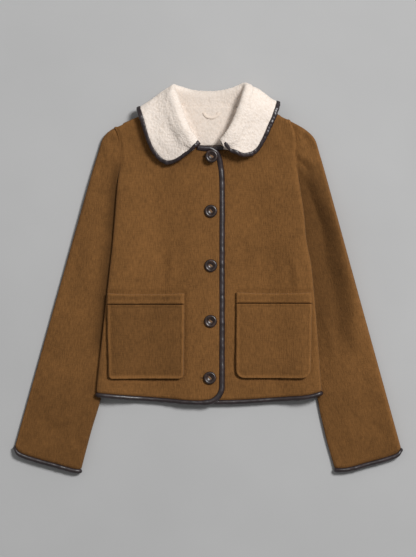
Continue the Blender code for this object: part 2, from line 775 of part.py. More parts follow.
def loop_rings():
    """A short tape, sewn down at both ends inside the neck."""
    rings = []
    for turn in np.linspace(0, math.pi, LOOP_STATIONS):
        out = -math.cos(turn), -math.sin(turn)
        x, y = (LOOP_CENTRE[k] + LOOP_REACH[k] * out[k] for k in (0, 1))
        z = base_level(x, y) + WALL + LINING_WALL + 2 * SEAM
        rings.append([(x + out[0] * w, y + out[1] * w, z + h) for w, h in LOOP_SECTION])
    return rings


def spread(wide, rim, count):
    """Distances across a width: the rim's at both ends and a count of even ones between them."""
    middle = np.linspace(rim[-1], wide - rim[-1], count + 2)[1:-1]
    return list(rim) + list(middle) + [wide - distance for distance in rim[::-1]]


def pocket_face(side, x, y, lift):
    """A point above a front, following its folded edge."""
    right = side == "right"
    inside = (x - side_right.x_at(y)) if right else (side_left.x_at(y) - x)
    edge = min(inside, FOLD_REACH) / FOLD_REACH
    drop = STACK / 2 * (1 - math.sqrt(max(0.0, 1 - (1 - edge) ** 2)))
    return front_level(x, y, right) - drop + POCKET_SEAT + lift


# How full a pocket is at a distance from its edge, and a band along and across it.
PUFF = ((0.0, 0.35), (1.2, 0.7), (4.0, 0.95), (8.0, 1.0))
POCKET_SHARES = (0.2, 0.4, 0.6, 0.8, 0.94, 0.99, 1.0)
POCKET_COLUMNS = 9
BAND_WALL = 5.75
BAND_RIM = ((0.0, 0.4), (1.2, 0.75), (4.0, 1.0))
BAND_ROWS = ((0, 0.4), (0.08, 0.75), (0.25, 1.0), (0.5, 1.1), (0.75, 1.0), (0.92, 0.75), (1, 0.35))
BAND_COLUMNS = 10
BAND_SAG = 2.4


def pocket_mesh(side):
    """A patch with round lower corners, full at its middle and rolled at its edges."""
    size = POCKETS[side]
    corner = size["corner"]
    turns = [math.radians(a) for a in (0, 30, 60, 90)]
    heights = [corner * (1 - math.cos(a)) for a in turns]
    insets = [corner * (1 - math.sin(a)) for a in turns]
    tall = size["seam_y"] - SEAM - size["foot_y"]
    heights += [corner + (tall - corner) * share for share in POCKET_SHARES]
    insets += [0] * len(POCKET_SHARES)
    rim = [distance for distance, full in PUFF]

    def place(column, row, depth):
        height, inset = heights[row], insets[row]
        share = height / tall
        low = size["foot"][0] + (size["top"][0] - size["foot"][0]) * share + inset
        high = size["foot"][1] + (size["top"][1] - size["foot"][1]) * share - inset
        wide = high - low
        place_x = spread(wide, rim, POCKET_COLUMNS)[column]
        x, y = low + place_x, size["foot_y"] + height
        near = min(place_x, wide - place_x, height + 0.5 * inset, tall - height)
        return x, y, pocket_face(side, x, y, POCKET_WALL * table(PUFF, near) * (1 - depth))

    return wall_mesh(2 * len(rim) + POCKET_COLUMNS, len(heights), place)


def band_mesh(side):
    """The pocket's turned-over upper edge, a soft roll that sags at its middle."""
    size = POCKETS[side]
    tall = size["band_y"] - size["seam_y"]
    wide = size["top"][1] - size["top"][0]
    rim = [distance for distance, full in BAND_RIM]
    places = spread(wide, rim, BAND_COLUMNS)

    def place(column, row, depth):
        share, full = BAND_ROWS[row]
        place_x = places[column]
        sag = BAND_SAG * math.sin(math.pi * place_x / wide)
        full = min(full, table(BAND_RIM, min(place_x, wide - place_x)))
        x, y = size["top"][0] + place_x, size["seam_y"] + (tall - sag) * share
        return x, y, pocket_face(side, x, y, BAND_WALL * full * (1 - depth))

    return wall_mesh(len(places), len(BAND_ROWS), place)


BUTTON_PROFILE = ((0.01, 1.9), (5.2, 2.2), (8.2, 4.2), (10.4, 4.0), (11.7, 2.4), (10.4, 0.0), (0.01, 0.0))
BUTTON_TURNS = 14
BUTTON_HOLE_X, BUTTON_HOLE_RADIUS = 2.1, 1.1


def button_mesh(collection):
    """A turned button with a rim, a sunk middle and two holes."""
    bm = bmesh.new()
    verts = [bm.verts.new((x * MM, 0, z * MM)) for x, z in BUTTON_PROFILE]
    for first, second in zip(verts, verts[1:]):
        bm.edges.new((first, second))
    mesh = bpy.data.meshes.new("button_profile")
    bm.to_mesh(mesh)
    bm.free()
    blank = bpy.data.objects.new("button_blank", mesh)
    collection.objects.link(blank)
    screw = blank.modifiers.new("turned", "SCREW")
    screw.steps = screw.render_steps = BUTTON_TURNS
    screw.use_merge_vertices = True
    screw.merge_threshold = 0.00005
    screw.use_normal_calculate = True
    drills = []
    for x in (-BUTTON_HOLE_X, BUTTON_HOLE_X):
        bm = bmesh.new()
        radius = BUTTON_HOLE_RADIUS * MM
        bmesh.ops.create_cone(bm, cap_ends=True, segments=8, radius1=radius, radius2=radius, depth=12 * MM)
        bmesh.ops.translate(bm, vec=(x * MM, 0, 0), verts=bm.verts)
        drill_mesh = bpy.data.meshes.new("drill")
        bm.to_mesh(drill_mesh)
        bm.free()
        drill = bpy.data.objects.new("drill", drill_mesh)
        collection.objects.link(drill)
        hole = blank.modifiers.new("hole", "BOOLEAN")
        hole.operation = "DIFFERENCE"
        hole.object = drill
        drills.append(drill)
    graph = bpy.context.evaluated_depsgraph_get()
    turned = bpy.data.meshes.new_from_object(blank.evaluated_get(graph), depsgraph=graph)
    for helper in drills + [blank]:
        bpy.data.objects.remove(helper)
    return turned


def button_level(x, y):
    """The highest cloth or binding under a button."""
    turns = [math.pi * k / 6 for k in range(12)]
    spots = [(x + BUTTON_RADIUS * math.cos(turn), y + BUTTON_RADIUS * math.sin(turn)) for turn in turns]
    over_binding = y > BUTTONS[0][1] - 1
    return max(front_level(*spot, True) for spot in spots) + (BINDING_PROUD if over_binding else 0)


# The scene.


def clear_scene():
    for thing in list(bpy.data.objects):
        bpy.data.objects.remove(thing)


def make_material(name):
    """One plain surface, in a colour and roughness of the table."""
    colour, roughness = COLOURS[name]
    material = bpy.data.materials.new(name)
    material.use_nodes = True
    shader = material.node_tree.nodes["Principled BSDF"]
    shader.inputs["Base Color"].default_value = (*colour, 1)
    shader.inputs["Roughness"].default_value = roughness
    shader.inputs["Metallic"].default_value = 0
    return material


def main():
    """Makes every piece of the jacket."""
    clear_scene()
    collection = bpy.data.collections.new("jacket")
    bpy.context.scene.collection.children.link(collection)
    stuff = {name: make_material(name) for name in COLOURS}
    panels = body_panels()
    for name, panel in panels.items():
        finish(name, panel_mesh(panel), collection, stuff["cord"])
    for side in ("right", "left"):
        finish("sleeve_" + side, sleeve_mesh(side), collection, stuff["cord"])
        finish("cuff_binding_" + side, tube_mesh(cuff_rings(side), loop=True), collection, stuff["leather"])
        finish("pocket_" + side, pocket_mesh(side), collection, stuff["cord"])
        finish("pocket_band_" + side, band_mesh(side), collection, stuff["cord"])
    for name, panel in (("hem_binding_left", panels["front_left"]), ("hem_binding_back", panels["back"])):
        rings = [hem_ring(panel, column) for column in panel.across]
        finish(name, tube_mesh(rings), collection, stuff["leather"])
    rings = front_binding_rings(panels["front_right"])
    finish("front_binding_right", tube_mesh(rings), collection, stuff["leather"])
    finish("collar", collar_mesh(), collection, stuff["fleece"])
    finish("collar_binding", tube_mesh(collar_binding_rings()), collection, stuff["leather"])
    finish("back_lining", lining_mesh(), collection, stuff["fleece"])
    finish("hanger_loop", tube_mesh(loop_rings()), collection, stuff["fleece"])
    turned = button_mesh(collection)
    turned.materials.clear()
    turned.materials.append(stuff["horn"])
    for number, (x, y) in enumerate(BUTTONS, 1):
        button = bpy.data.objects.new(f"button_{number}", turned)
        button.location = (x * MM, y * MM, (button_level(x, y) + SEAM) * MM)
        collection.objects.link(button)


main()
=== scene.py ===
"""A short brown jacket with a fleece collar and leather edges, buttoned and laid flat on its back.

The pieces are made in millimetres and turned into metres as each mesh is finished. X runs across the
jacket, +Y towards the collar and +Z up. Left and right are the wearer's, so the right side is at -X.
"""

import math

import bmesh
import bpy
import numpy as np
from mathutils import Matrix, Vector, noise


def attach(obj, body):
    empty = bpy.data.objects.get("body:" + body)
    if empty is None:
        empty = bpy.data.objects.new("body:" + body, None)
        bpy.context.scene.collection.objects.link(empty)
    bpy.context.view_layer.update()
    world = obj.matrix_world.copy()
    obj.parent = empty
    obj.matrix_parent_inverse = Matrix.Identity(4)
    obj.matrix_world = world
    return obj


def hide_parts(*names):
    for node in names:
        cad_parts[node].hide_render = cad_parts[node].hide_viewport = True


bl_info = {
    "name": "Fleece-lined jacket",
    "version": (1, 0, 0),
    "blender": (4, 5, 0),
    "location": "3D View > Sidebar > Jacket",
    "description": "Makes a short fleece-lined jacket with leather edges, laid flat",
    "category": "Add Mesh",
}

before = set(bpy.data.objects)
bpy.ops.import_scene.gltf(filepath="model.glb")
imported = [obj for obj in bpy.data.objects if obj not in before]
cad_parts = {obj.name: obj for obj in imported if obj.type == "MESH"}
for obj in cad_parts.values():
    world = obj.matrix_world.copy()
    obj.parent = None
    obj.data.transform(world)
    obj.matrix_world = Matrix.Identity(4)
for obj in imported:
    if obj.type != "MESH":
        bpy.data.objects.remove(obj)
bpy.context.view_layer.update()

MM = 0.001

# Cloth.
WALL = 6.0
LAYER_GAP = 1.0
SEAM = 0.3
STACK = 2 * WALL + LAYER_GAP
FOLD_REACH = 9.0
FOLD_ANGLES = (0, 22, 45, 68, 90)
PRESSED_END = 2.4
BOUND_STEPS = ((PRESSED_END, 1), (8.8, 1), (9.6, 0))
PRESSED = 0.5

# Levels of the laid jacket.
NECK_LIFT = 10.8
NECK_RING = (2, 322, 134, 74)  # the middle and the reach, across and along, of the lift round the neck
NECK_RAMP = (1, 1.75)  # the shares of that reach where the lift starts to fall and where it ends
SIDE_HEIGHT = 13.8
SIDE_RAMP = (22, 88)  # from the side, where its lift starts to fall and where it ends
ARMPIT_RAMP = (160, 206)  # the heights between which the sides' lift ends
OVERLAP_HEIGHT = 7.2
OVERLAP_RAMP = (54, 125)  # the same from the front edge, over the left front's edge
COLLAR_WALL = 7.0
BUTTON_RADIUS = 11.7
BINDING_PROUD = 2.2
POCKET_WALL = 6.6
POCKET_SEAT = 0.8
CORNER_RADIUS = 34.0
FRONT_EDGE_X = 30.0

# Along the right front's edge: where the neckline starts and where its leather ends under the collar.
NECK_START = 400
NECK_BINDING_END = 497
CORNER_STATIONS = 25
EDGE_STATIONS = 90
NECK_STATIONS = 40
FRONT_MIDDLE_X = 60
CHEST_Y = 180
FULL_WIDTH = 190
SIDE_SEAM_TOP = (196, 216)  # where the sides stop folding into each other
NECK_FOLD = (2, 8)  # how far out and in of the neck's ends the shoulders' fold stops
TOP_RAMP = (0.7, 0.97)  # the shares of a side over which the rows bend to the back's own top

# Outlines. Each row is a point (x, y) on the edge named, hem first.
SIDE_RIGHT = (
    (-203, -217), (-202, -195), (-179, 14), (-173, 69), (-164, 178), (-161, 200),
    (-160, 220), (-162, 251), (-166, 266), (-171, 274),
)
SIDE_LEFT = (
    (207, -214), (206, -195), (189, 14), (179, 69), (175, 114), (167, 168), (163, 200),
    (161, 223), (161, 247), (157, 269), (149, 287),
)
FRONT_RIGHT_EDGE = (
    (30, -231), (30, -100), (30, 60), (30, 170), (28, 200), (21, 226), (8, 237), (-8, 239),
    (-22, 242), (-36, 252), (-49, 268), (-60, 287), (-67, 304), (-71, 317),
)
FRONT_LEFT_EDGE = (
    (-25, -230), (-25, -100), (-25, 60), (-25, 205), (-20, 226), (-6, 236), (8, 237), (22, 240),
    (38, 250), (53, 267), (64, 286), (73, 305), (77, 320),
)
BACK_NECK = ((-71, 317), (-58, 311), (-33, 308), (2, 307), (36, 308), (64, 313), (77, 320))
HEM = (
    (-203, -217), (-182, -219), (-124, -224), (-66, -228), (-38, -230.3), (-10, -231), (12, -231),
    (30, -231), (66, -230), (95, -228), (153, -224), (182, -221), (207, -214),
)
SLEEVE_OUTER_RIGHT = (
    (-354, -315), (-276, -37), (-198, 240), (-194, 253), (-186, 264), (-171.4, 274.3),
)
SLEEVE_OUTER_LEFT = ((354, -318), (278, -43), (202, 233), (195, 254), (178, 271), (149.4, 287.3))
SLEEVE_INNER_RIGHT = (
    (-233, -357), (-213, -281), (-194, -215), (-186, -150), (-167, 14), (-161, 69), (-157, 120),
    (-160, 150), (-165.6, 168), (-161.4, 200),
)
SLEEVE_INNER_LEFT = (
    (233, -355), (213, -284), (198, -212), (191, -150), (177, 14), (168, 69), (163, 114),
    (164, 150), (167.9, 168), (163.4, 200),
)
CUFF_RIGHT = ((-354, -315), (-346, -325), (-313, -337), (-280, -346), (-248, -355), (-233, -357))
CUFF_LEFT = ((354, -318), (346, -327), (324, -335), (291, -344), (258, -353), (233, -355))

# How far up the side (first) the cloth stands level with the front edge (second), as shares.
FRONT_PAIRS = ((0, 0), (0.81, 0.74), (1, 1))
EVEN_PAIRS = ((0, 0), (1, 1))

# Collar sections from the front end to the middle of the back: where the stand is sewn on, where it
# rolls over and where the fall ends (x, y), the roll's rise, how far the fall has turned under
# (0 lies on the fronts, 1 lies under the back) and how much of the seam sits on the fronts.
COLLAR_RIGHT = (
    ((-22, 239), (-20, 246), (-27, 233), 8, 0, 1),
    ((-36, 247), (-29, 256), (-37, 223), 11, 0, 1),
    ((-47, 263), (-37, 270), (-54, 211), 13, 0, 1),
    ((-54, 278), (-43, 285), (-75, 205), 15, 0, 1),
    ((-60, 293), (-48, 298), (-96, 220), 16, 0, 1),
    ((-64, 307), (-52, 311), (-111, 247), 17, 0, 1),
    ((-64, 321), (-56, 324), (-122, 281), 17, 0.12, 0.8),
    ((-63, 325), (-60, 335), (-129, 306), 15, 0.5, 0.45),
    ((-60, 321), (-62, 342), (-119, 293), 10, 0.88, 0.15),
    ((-54, 314), (-54, 341), (-92, 276), 6, 1, 0),
    ((-42, 310), (-42, 336), (-52, 267), 2, 1, 0),
    ((-22, 308.6), (-22, 332), (-25, 265), 0, 1, 0),
    ((1, 308.0), (1, 331), (1, 264), 0, 1, 0),
)
COLLAR_LEFT = (
    ((25, 240), (23, 247), (30, 235), 8, 0, 1),
    ((39, 248), (33, 257), (44, 226), 11, 0, 1),
    ((51, 264), (42, 271), (68, 218), 13, 0, 1),
    ((59, 279), (49, 285), (90, 228), 15, 0, 1),
    ((66, 293), (54, 298), (105, 251), 16, 0, 1),
    ((70, 307), (59, 311), (117, 276), 17, 0, 1),
    ((70, 323), (63, 326), (126, 297), 17, 0.12, 0.8),
    ((69, 328), (66, 338), (130, 316), 15, 0.5, 0.45),
    ((66, 324), (68, 346), (119, 304), 10, 0.88, 0.15),
    ((60, 316), (59, 343), (92, 280), 6, 1, 0),
    ((44, 311), (44, 336), (54, 268), 2, 1, 0),
    ((24, 308.8), (24, 332), (26, 265), 0, 1, 0),
)
NECK_CENTRE = (2, 275)
ROLL_RADIUS = 5.4

# Pockets: left and right edges at the top, the same at the foot, the band's top and seam, the foot.
POCKETS = {
    "right": {
        "top": (-183.5, -43), "foot": (-181, -44), "band_y": -28, "seam_y": -49, "foot_y": -183,
        "corner": 9,
    },
    "left": {
        "top": (51, 188.5), "foot": (50, 186), "band_y": -26.5, "seam_y": -47, "foot_y": -182,
        "corner": 17,
    },
}
BUTTONS = ((6.4, 220), (5.1, 121), (5.1, 22), (4.6, -79), (3.3, -182))

# Soft creases of the laid cloth: start (x, y), end (x, y), half width and height (a trough below 0).
BODY_CREASES = (
    (154, 32, 162, -30, 6, 2.6),
    (144, 30, 148, -26, 8, -1.2),
    (-81, 46, -87, -22, 8, -2.4),
    (-66, 60, -71, -24, 7, 1.8),
    (-150, 150, -158, 40, 12, 1.2),
    (-188, -196, -170, -182, 4, 1.4),
    (-192, -176, -172, -206, 4, -1.2),
    (186, -186, 166, -204, 4, 1.4),
    (194, -200, 178, -188, 4, -1.2),
    (120, 190, 150, 110, 16, -1.8),
    (92, 150, 118, 40, 18, 1.6),
    (-120, 190, -96, 90, 18, -1.5),
    (-140, 220, -150, 150, 12, 1.6),
    (20, 80, 22, -60, 12, 0.8),
    (60, 60, 66, -10, 11, -1.2),
    (-30, 170, -34, 30, 13, 1.0),
    (140, 236, 152, 180, 9, 1.8),
    (110, 250, 122, 200, 12, -1.2),
)
SLEEVE_CREASES = (
    (-178, 258, -171, 236, 6, -2.4),
    (-188, 246, -182, 214, 7, 2.2),
    (-170, 214, -180, 160, 7, -2.0),
    (-204, 236, -214, 190, 10, 1.8),
    (-298, -280, -258, -278, 10, -3.0),
    (-290, -258, -250, -258, 9, 1.8),
    (-244, -288, -232, -306, 5, -2.2),
    (-252, -300, -240, -318, 5, 1.8),
    (-204, 120, -246, -60, 14, 2.2),
    (-236, 60, -262, -60, 11, -1.4),
    (-222, -40, -270, -200, 13, -2.0),
    (-290, -160, -318, -260, 12, 1.8),
    (-238, -180, -262, -250, 10, 2.0),
    (162, 214, 186, 190, 5, -3.2),
    (166, 226, 196, 204, 6, 2.8),
    (194, 186, 250, 12, 18, 13.0),
    (174, 170, 212, 20, 11, -4.2),
    (247, 26, 268, -120, 16, 9.0),
    (216, 20, 236, -110, 10, -3.0),
    (206, -60, 232, -180, 9, 2.4),
    (262, -120, 290, -240, 12, -1.8),
    (240, -230, 262, -300, 9, 1.8),
    (290, -262, 322, -290, 8, -2.2),
    (172, 262, 184, 236, 6, -2.2),
    (190, 258, 206, 226, 7, 2.4),
)

# Light.
KEY_PLACE = (2.5, 2.2, 4.8)
CAMERA_HEIGHT = 4.0
FIELD = (0.75712, 1.01374)  # what the picture takes in at the cloth's level, in metres


def smooth(value, low, high):
    """0 below low, 1 above high and a soft step between them."""
    share = np.clip((value - low) / (high - low), 0, 1)
    return share * share * (3 - 2 * share)


def table(rows, value):
    """The second column of a table, read at a value of the first."""
    columns = list(zip(*rows))
    return np.interp(value, columns[0], columns[1])


class Path:
    """A smooth line through the points of a table, read by the length along it."""

    def __init__(self, points, samples=20):
        keys = np.array(points, float)
        steps = np.linalg.norm(np.diff(keys, axis=0), axis=1)
        knots = np.concatenate([[0], np.cumsum(steps)])
        slopes = np.empty_like(keys)
        slopes[1:-1] = (keys[2:] - keys[:-2]) / (knots[2:] - knots[:-2])[:, None]
        slopes[0], slopes[-1] = (keys[1] - keys[0]) / steps[0], (keys[-1] - keys[-2]) / steps[-1]
        found = [keys[:1]]
        for k, step in enumerate(steps):
            t = np.linspace(0, 1, samples + 1)[1:, None]
            found.append(
                keys[k] * (1 + 2 * t) * (1 - t) ** 2
                + slopes[k] * step * t * (1 - t) ** 2
                + keys[k + 1] * t * t * (3 - 2 * t)
                + slopes[k + 1] * step * t * t * (t - 1)
            )
        self.points = np.concatenate(found)
        lengths = np.linalg.norm(np.diff(self.points, axis=0), axis=1)
        self.marks = np.concatenate([[0], np.cumsum(lengths)])
        self.length = self.marks[-1]

    def at(self, distance):
        """The point this far along the line."""
        return np.array([np.interp(distance, self.marks, axis) for axis in self.points.T])

    def share(self, share):
        """The point at a share of the line's length."""
        return self.at(share * self.length)

    def inward(self, distance, centre):
        """The unit normal in plan, on the side of the point centre."""
        ahead = self.at(min(distance + 2, self.length)) - self.at(max(distance - 2, 0))
        normal = np.array([-ahead[1], ahead[0]]) / np.hypot(*ahead[:2])
        return normal if normal @ (np.array(centre) - self.at(distance)) > 0 else -normal

    def x_at(self, y):
        """Where the line is across the jacket, at a height."""
        return np.interp(y, self.points[:, 1], self.points[:, 0])

    def y_at(self, x):
        """Where the line is along the jacket, at a place across it."""
        return np.interp(x, self.points[:, 0], self.points[:, 1])


side_right = Path(SIDE_RIGHT)
side_left = Path(SIDE_LEFT)
front_right_edge = Path(FRONT_RIGHT_EDGE)
front_left_edge = Path(FRONT_LEFT_EDGE)
back_neck = Path(BACK_NECK)
hem = Path(HEM)


def base_level(x, y):
    """The height of the back's underside: raised over the sleeves' edges and over the collar's fall."""
    middle_x, middle_y, reach_x, reach_y = NECK_RING
    neck = np.hypot((x - middle_x) / reach_x, (y - middle_y) / reach_y)
    lift = NECK_LIFT * (1 - smooth(neck, *NECK_RAMP))
    inside = min(x - side_right.x_at(y), side_left.x_at(y) - x)
    return lift + SIDE_HEIGHT * (1 - smooth(inside, *SIDE_RAMP)) * (1 - smooth(y, *ARMPIT_RAMP))


def overlap_level(x):
    """How far the right front stands up where it lies over the left one."""
    return OVERLAP_HEIGHT * (1 - smooth(FRONT_EDGE_X - x, *OVERLAP_RAMP))


def front_inward(edge, distance, middle_x):
    """The direction from a front's edge or neckline into its cloth."""
    middle_y = CHEST_Y if distance > NECK_START else edge.at(distance)[1]
    return edge.inward(distance, (middle_x, middle_y))


def front_level(x, y, right):
    """The height of a front's outer face."""
    return base_level(x, y) + STACK + (overlap_level(x) if right else 0)


class Step:
    """A row or a column of a panel: from its low edge, its high edge, or a share between them."""

    def __init__(self, edge, share=0.0, angle=90.0, distance=0.0, pressed=0, knot=False):
        self.edge = edge
        self.share = share
        self.angle = math.radians(angle)
        self.distance = distance
        self.pressed = pressed
        self.knot = knot

    def inset(self, depth, fold):
        """How far in from its edge this step lies, and the height left there by the fold, 0 to 1."""
        if self.distance:
            return self.distance, 1.0
        start = depth * fold * WALL
        inset = start + (FOLD_REACH - start) * (1 - math.cos(self.angle))
        return inset, 1 - fold * (1 - math.sin(self.angle))


def steps(shares, low, high, low_knots=(), high_knots=()):
    """The steps across a panel. low and high say fold, bound or cut, and knots lie further in."""
    found = []
    for edge, kind, knots in (("low", low, low_knots), ("high", high, high_knots)):
        if kind == "fold":
            rim = [Step(edge, angle=angle) for angle in FOLD_ANGLES]
        elif kind == "bound":
            rim = [Step(edge, distance=distance, pressed=pressed) for distance, pressed in BOUND_STEPS]
        else:
            rim = [Step(edge, distance=0.01)]
        rim += [Step(edge, distance=distance, knot=True) for distance in sorted(knots)]
        found.append(rim if edge == "low" else rim[::-1])
    return found[0] + [Step("middle", share=share) for share in shares] + found[1]


class Panel:
    """A piece of the body: rows from its outer edge to its inner edge, walls and folds added to them.

    lower is True for the back, whose folds turn up. across and along are the lists of steps.
    """

    def __init__(self, edges, pairs, across, along, lower=False, right=False, top=None):
        self.low_edge, self.high_edge = edges
        self.pairs = np.array(pairs, float)
        self.across, self.along = across, along
        self.lower, self.right, self.top = lower, right, top

    @staticmethod
    def margin(edge, rim, scale=1.0):
        """How far in from an edge its own steps reach."""
        steps_there = [step for step in rim if step.edge == edge]
        return max((step.distance or FOLD_REACH) * (scale if step.knot else 1) for step in steps_there)

    def marks(self, row, depth, fold):
        """The lengths along both edges at which this row starts and ends."""
        inset, rise = row.inset(depth, fold)
        if row.edge == "low":
            return inset, inset, rise
        if row.edge == "high":
            return self.low_edge.length - inset, self.high_edge.length - inset, rise
        margin_low, margin_high = (self.margin(edge, self.along) for edge in ("low", "high"))
        other = np.interp(row.share, self.pairs[:, 0], self.pairs[:, 1])
        found = [
            margin_low + share * (edge.length - margin_low - margin_high)
            for share, edge in ((row.share, self.low_edge), (other, self.high_edge))
        ]
        return found[0], found[1], rise

    def side_fold(self, y):
        """1 where front and back fold into each other at the side, 0 along the armhole."""
        return 1 - smooth(y, *SIDE_SEAM_TOP)

    def top_fold(self, row, column):
        """How much of a row's own fold is made at a column: none along the back of the neck."""
        if not self.lower or row.edge != "high":
            return 1.0
        low, high = self.low_edge.share(1)[0], self.high_edge.share(1)[0]
        rough = {"low": 0.0, "high": 1.0}.get(column.edge, column.share)
        x = low + (high - low) * rough
        (start, _), (end, _) = BACK_NECK[0], BACK_NECK[-1]
        out, inner = NECK_FOLD
        return 1 - smooth(x, start - out, start + inner) * (1 - smooth(x, end - inner, end + out))

    def cross(self, low, high, end, column, depth):
        """Where a column crosses the row from low to high, and the height left there by its fold."""
        width = np.hypot(*(high - low))
        across = (high - low) / width
        high_in = -across
        if self.across[-1].pressed or self.right:
            high_in = front_inward(self.high_edge, end, -FRONT_MIDDLE_X if self.right else FRONT_MIDDLE_X)
        scale = min(1, width / FULL_WIDTH / (2 if self.lower else 1))
        knot_scale = scale if column.knot else 1
        if column.edge == "low":
            inset, rise = column.inset(depth, self.side_fold(low[1]))
            return low + across * inset * knot_scale, rise
        near = BOUND_STEPS[-1][0]
        if column.edge == "high":
            inset, rise = column.inset(depth, self.side_fold(high[1]) if self.lower else 0.0)
            near = min(inset, near)
            return high + high_in * near - across * (inset - near) * knot_scale, rise
        first = low + across * self.margin("low", self.across, scale)
        last = high + high_in * near - across * (self.margin("high", self.across) - near) * scale
        return first + (last - first) * column.share, 1.0

    def settled(self, point, share, up):
        """The point moved to the hem's own curve near the foot, and to the panel's own top."""
        flat = self.low_edge.at(0) + (self.high_edge.at(0) - self.low_edge.at(0)) * share
        point = point + np.array([0, hem.y_at(flat[0]) - flat[1]]) * (1 - up) ** 3
        if self.top is None:
            return point
        flat = self.low_edge.share(1) + (self.high_edge.share(1) - self.low_edge.share(1)) * share
        return point + (self.top(share) - flat) * smooth(up, *TOP_RAMP)

    def plan(self, row, column, depth):
        """x, y and the height left by the folds."""
        start, end, rise_along = self.marks(row, depth, self.top_fold(row, column))
        low, high = self.low_edge.at(start), self.high_edge.at(end)
        point, rise_across = self.cross(low, high, end, column, depth)
        width = np.hypot(*(high - low))
        share = np.clip((point - low) @ ((high - low) / width) / width, 0, 1)
        return self.settled(point, share, start / self.low_edge.length), rise_along * rise_across

    def at(self, row, column, depth):
        """A point in the wall, 0 at its outer face and 1 at its inner face."""
        if column.pressed or row.pressed:
            depth = 0.5 + (depth - 0.5) * PRESSED
        (x, y), rise = self.plan(row, column, depth)
        if self.right:
            x, y = round_corner(x, y)
        half = (STACK / 2 - depth * WALL - SEAM / 2) * rise + SEAM / 2
        middle = base_level(x, y) + STACK / 2 + (overlap_level(x) if self.right else 0)
        return x, y, middle + (-half if self.lower else half)


def round_corner(x, y):
    """Turns the square corner at the foot of the front edge into a round one, ring by ring."""
    foot = hem.y_at(FRONT_EDGE_X)
    from_edge = x - (FRONT_EDGE_X - CORNER_RADIUS)
    from_hem = (foot + CORNER_RADIUS) - y
    if from_edge <= 0 or from_hem <= 0:
        return x, y
    ring = max(from_edge, from_hem)
    other = min(from_edge, from_hem)
    turn = math.pi / 4 * other / ring
    if from_hem > from_edge:
        turn = math.pi / 2 - turn
    middle_x, middle_y = FRONT_EDGE_X - CORNER_RADIUS, foot + CORNER_RADIUS
    return middle_x + ring * math.cos(turn), middle_y - ring * math.sin(turn)


# Meshes.


def grid_spots(bm, columns, rows):
    """The column and the row of each vertex of a unit grid."""
    return {v: (round((v.co.x + 0.5) * columns), round((v.co.y + 0.5) * rows)) for v in bm.verts}


def wall_mesh(columns, rows, place, ring=False):
    """A closed wall over a grid. place(column, row, depth) gives each point; a ring joins its columns.

    Its inner faces take the second material, and the attribute "skin" is 1 on its outer face.
    """
    bm = bmesh.new()
    skin = bm.verts.layers.float.new("skin")
    bmesh.ops.create_grid(bm, x_segments=columns - 1, y_segments=rows - 1, size=0.5)
    spots = grid_spots(bm, columns - 1, rows - 1)
    if ring:
        first = {row: v for v, (column, row) in spots.items() if column == 0}
        joins = {v: first[row] for v, (column, row) in spots.items() if column == columns - 1}
        spots = {v: spot for v, spot in spots.items() if v not in joins}
        bmesh.ops.weld_verts(bm, targetmap=joins)
    inner = list(bm.verts)
    keys = [spots[v] for v in inner]
    for number, vert in enumerate(inner):
        vert.co.z = number
    for face in bm.faces:
        face.material_index = 1
    made = bmesh.ops.extrude_face_region(bm, geom=bm.faces[:])
    for vert in (item for item in made["geom"] if isinstance(item, bmesh.types.BMVert)):
        vert.co = place(*keys[round(vert.co.z)], 0.0)
        vert[skin] = 1
    for face in bm.faces:
        face.material_index = 0 if any(vert[skin] for vert in face.verts) else 1
    for vert, key in zip(inner, keys):
        vert.co = place(*key, 1.0)
    return bm


def tube_mesh(rings, loop=False):
    """A closed tube through rings of points, its ends filled unless it meets itself."""
    count, around = len(rings), len(rings[0])
    rows = count if loop else count - 1
    bm = bmesh.new()
    bmesh.ops.create_grid(bm, x_segments=around, y_segments=rows, size=0.5)
    spots = grid_spots(bm, around, rows)
    first = {spot: v for v, spot in spots.items()}
    joins = {}
    for v, (column, row) in spots.items():
        home = (column % around, row % count if loop else row)
        if home != (column, row):
            joins[v] = first[home]
        else:
            v.co = rings[row][column]
    bmesh.ops.weld_verts(bm, targetmap=joins)
    if not loop:
        bmesh.ops.holes_fill(bm, edges=[e for e in bm.edges if e.is_boundary], sides=0)
    return bm


def finish(name, bm, node, materials, relief=None, sharp=None, grain=0.0, painted_light=None):
    """Turns a mesh in millimetres into the piece that stands for a node, with its outer face shaped.

    relief(points, normals) gives how far each outer point moves up, grain the nap's turn and the last
    argument how much painted highlight each point gets, or painted shade below 0, kept as an attribute of
    its name.
    """
    # Painted highlight above 0 and painted shade below 0, kept on each vertex for the shaders.
    if painted_light:
        layer = bm.verts.layers.float.new("painted_light")
        verts = list(bm.verts)
        for vert, value in zip(verts, painted_light(np.array([vert.co for vert in verts]))):
            vert[layer] = value
    bmesh.ops.recalc_face_normals(bm, faces=bm.faces)
    if bm.calc_volume(signed=True) < 0:
        bmesh.ops.reverse_faces(bm, faces=bm.faces)
    bm.normal_update()
    if relief:
        skin = bm.verts.layers.float.get("skin")
        outer = [vert for vert in bm.verts if skin is None or vert[skin]]
        points = np.array([vert.co for vert in outer])
        normals = np.array([vert.normal for vert in outer])
        for vert, rise in zip(outer, relief(points, normals)):
            vert.co.z += rise
    lay_grain(bm, grain)
    bmesh.ops.scale(bm, vec=(MM, MM, MM), verts=bm.verts)
    mesh = bpy.data.meshes.new(name)
    bm.to_mesh(mesh)
    bm.free()
    mesh.shade_smooth()
    if sharp:
        mesh.set_sharp_from_angle(angle=math.radians(sharp))
    for material in materials:
        mesh.materials.append(material)
    piece = bpy.data.objects.new(name, mesh)
    bpy.context.scene.collection.objects.link(piece)
    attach(piece, "root")
    if node:
        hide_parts(node)
    return piece


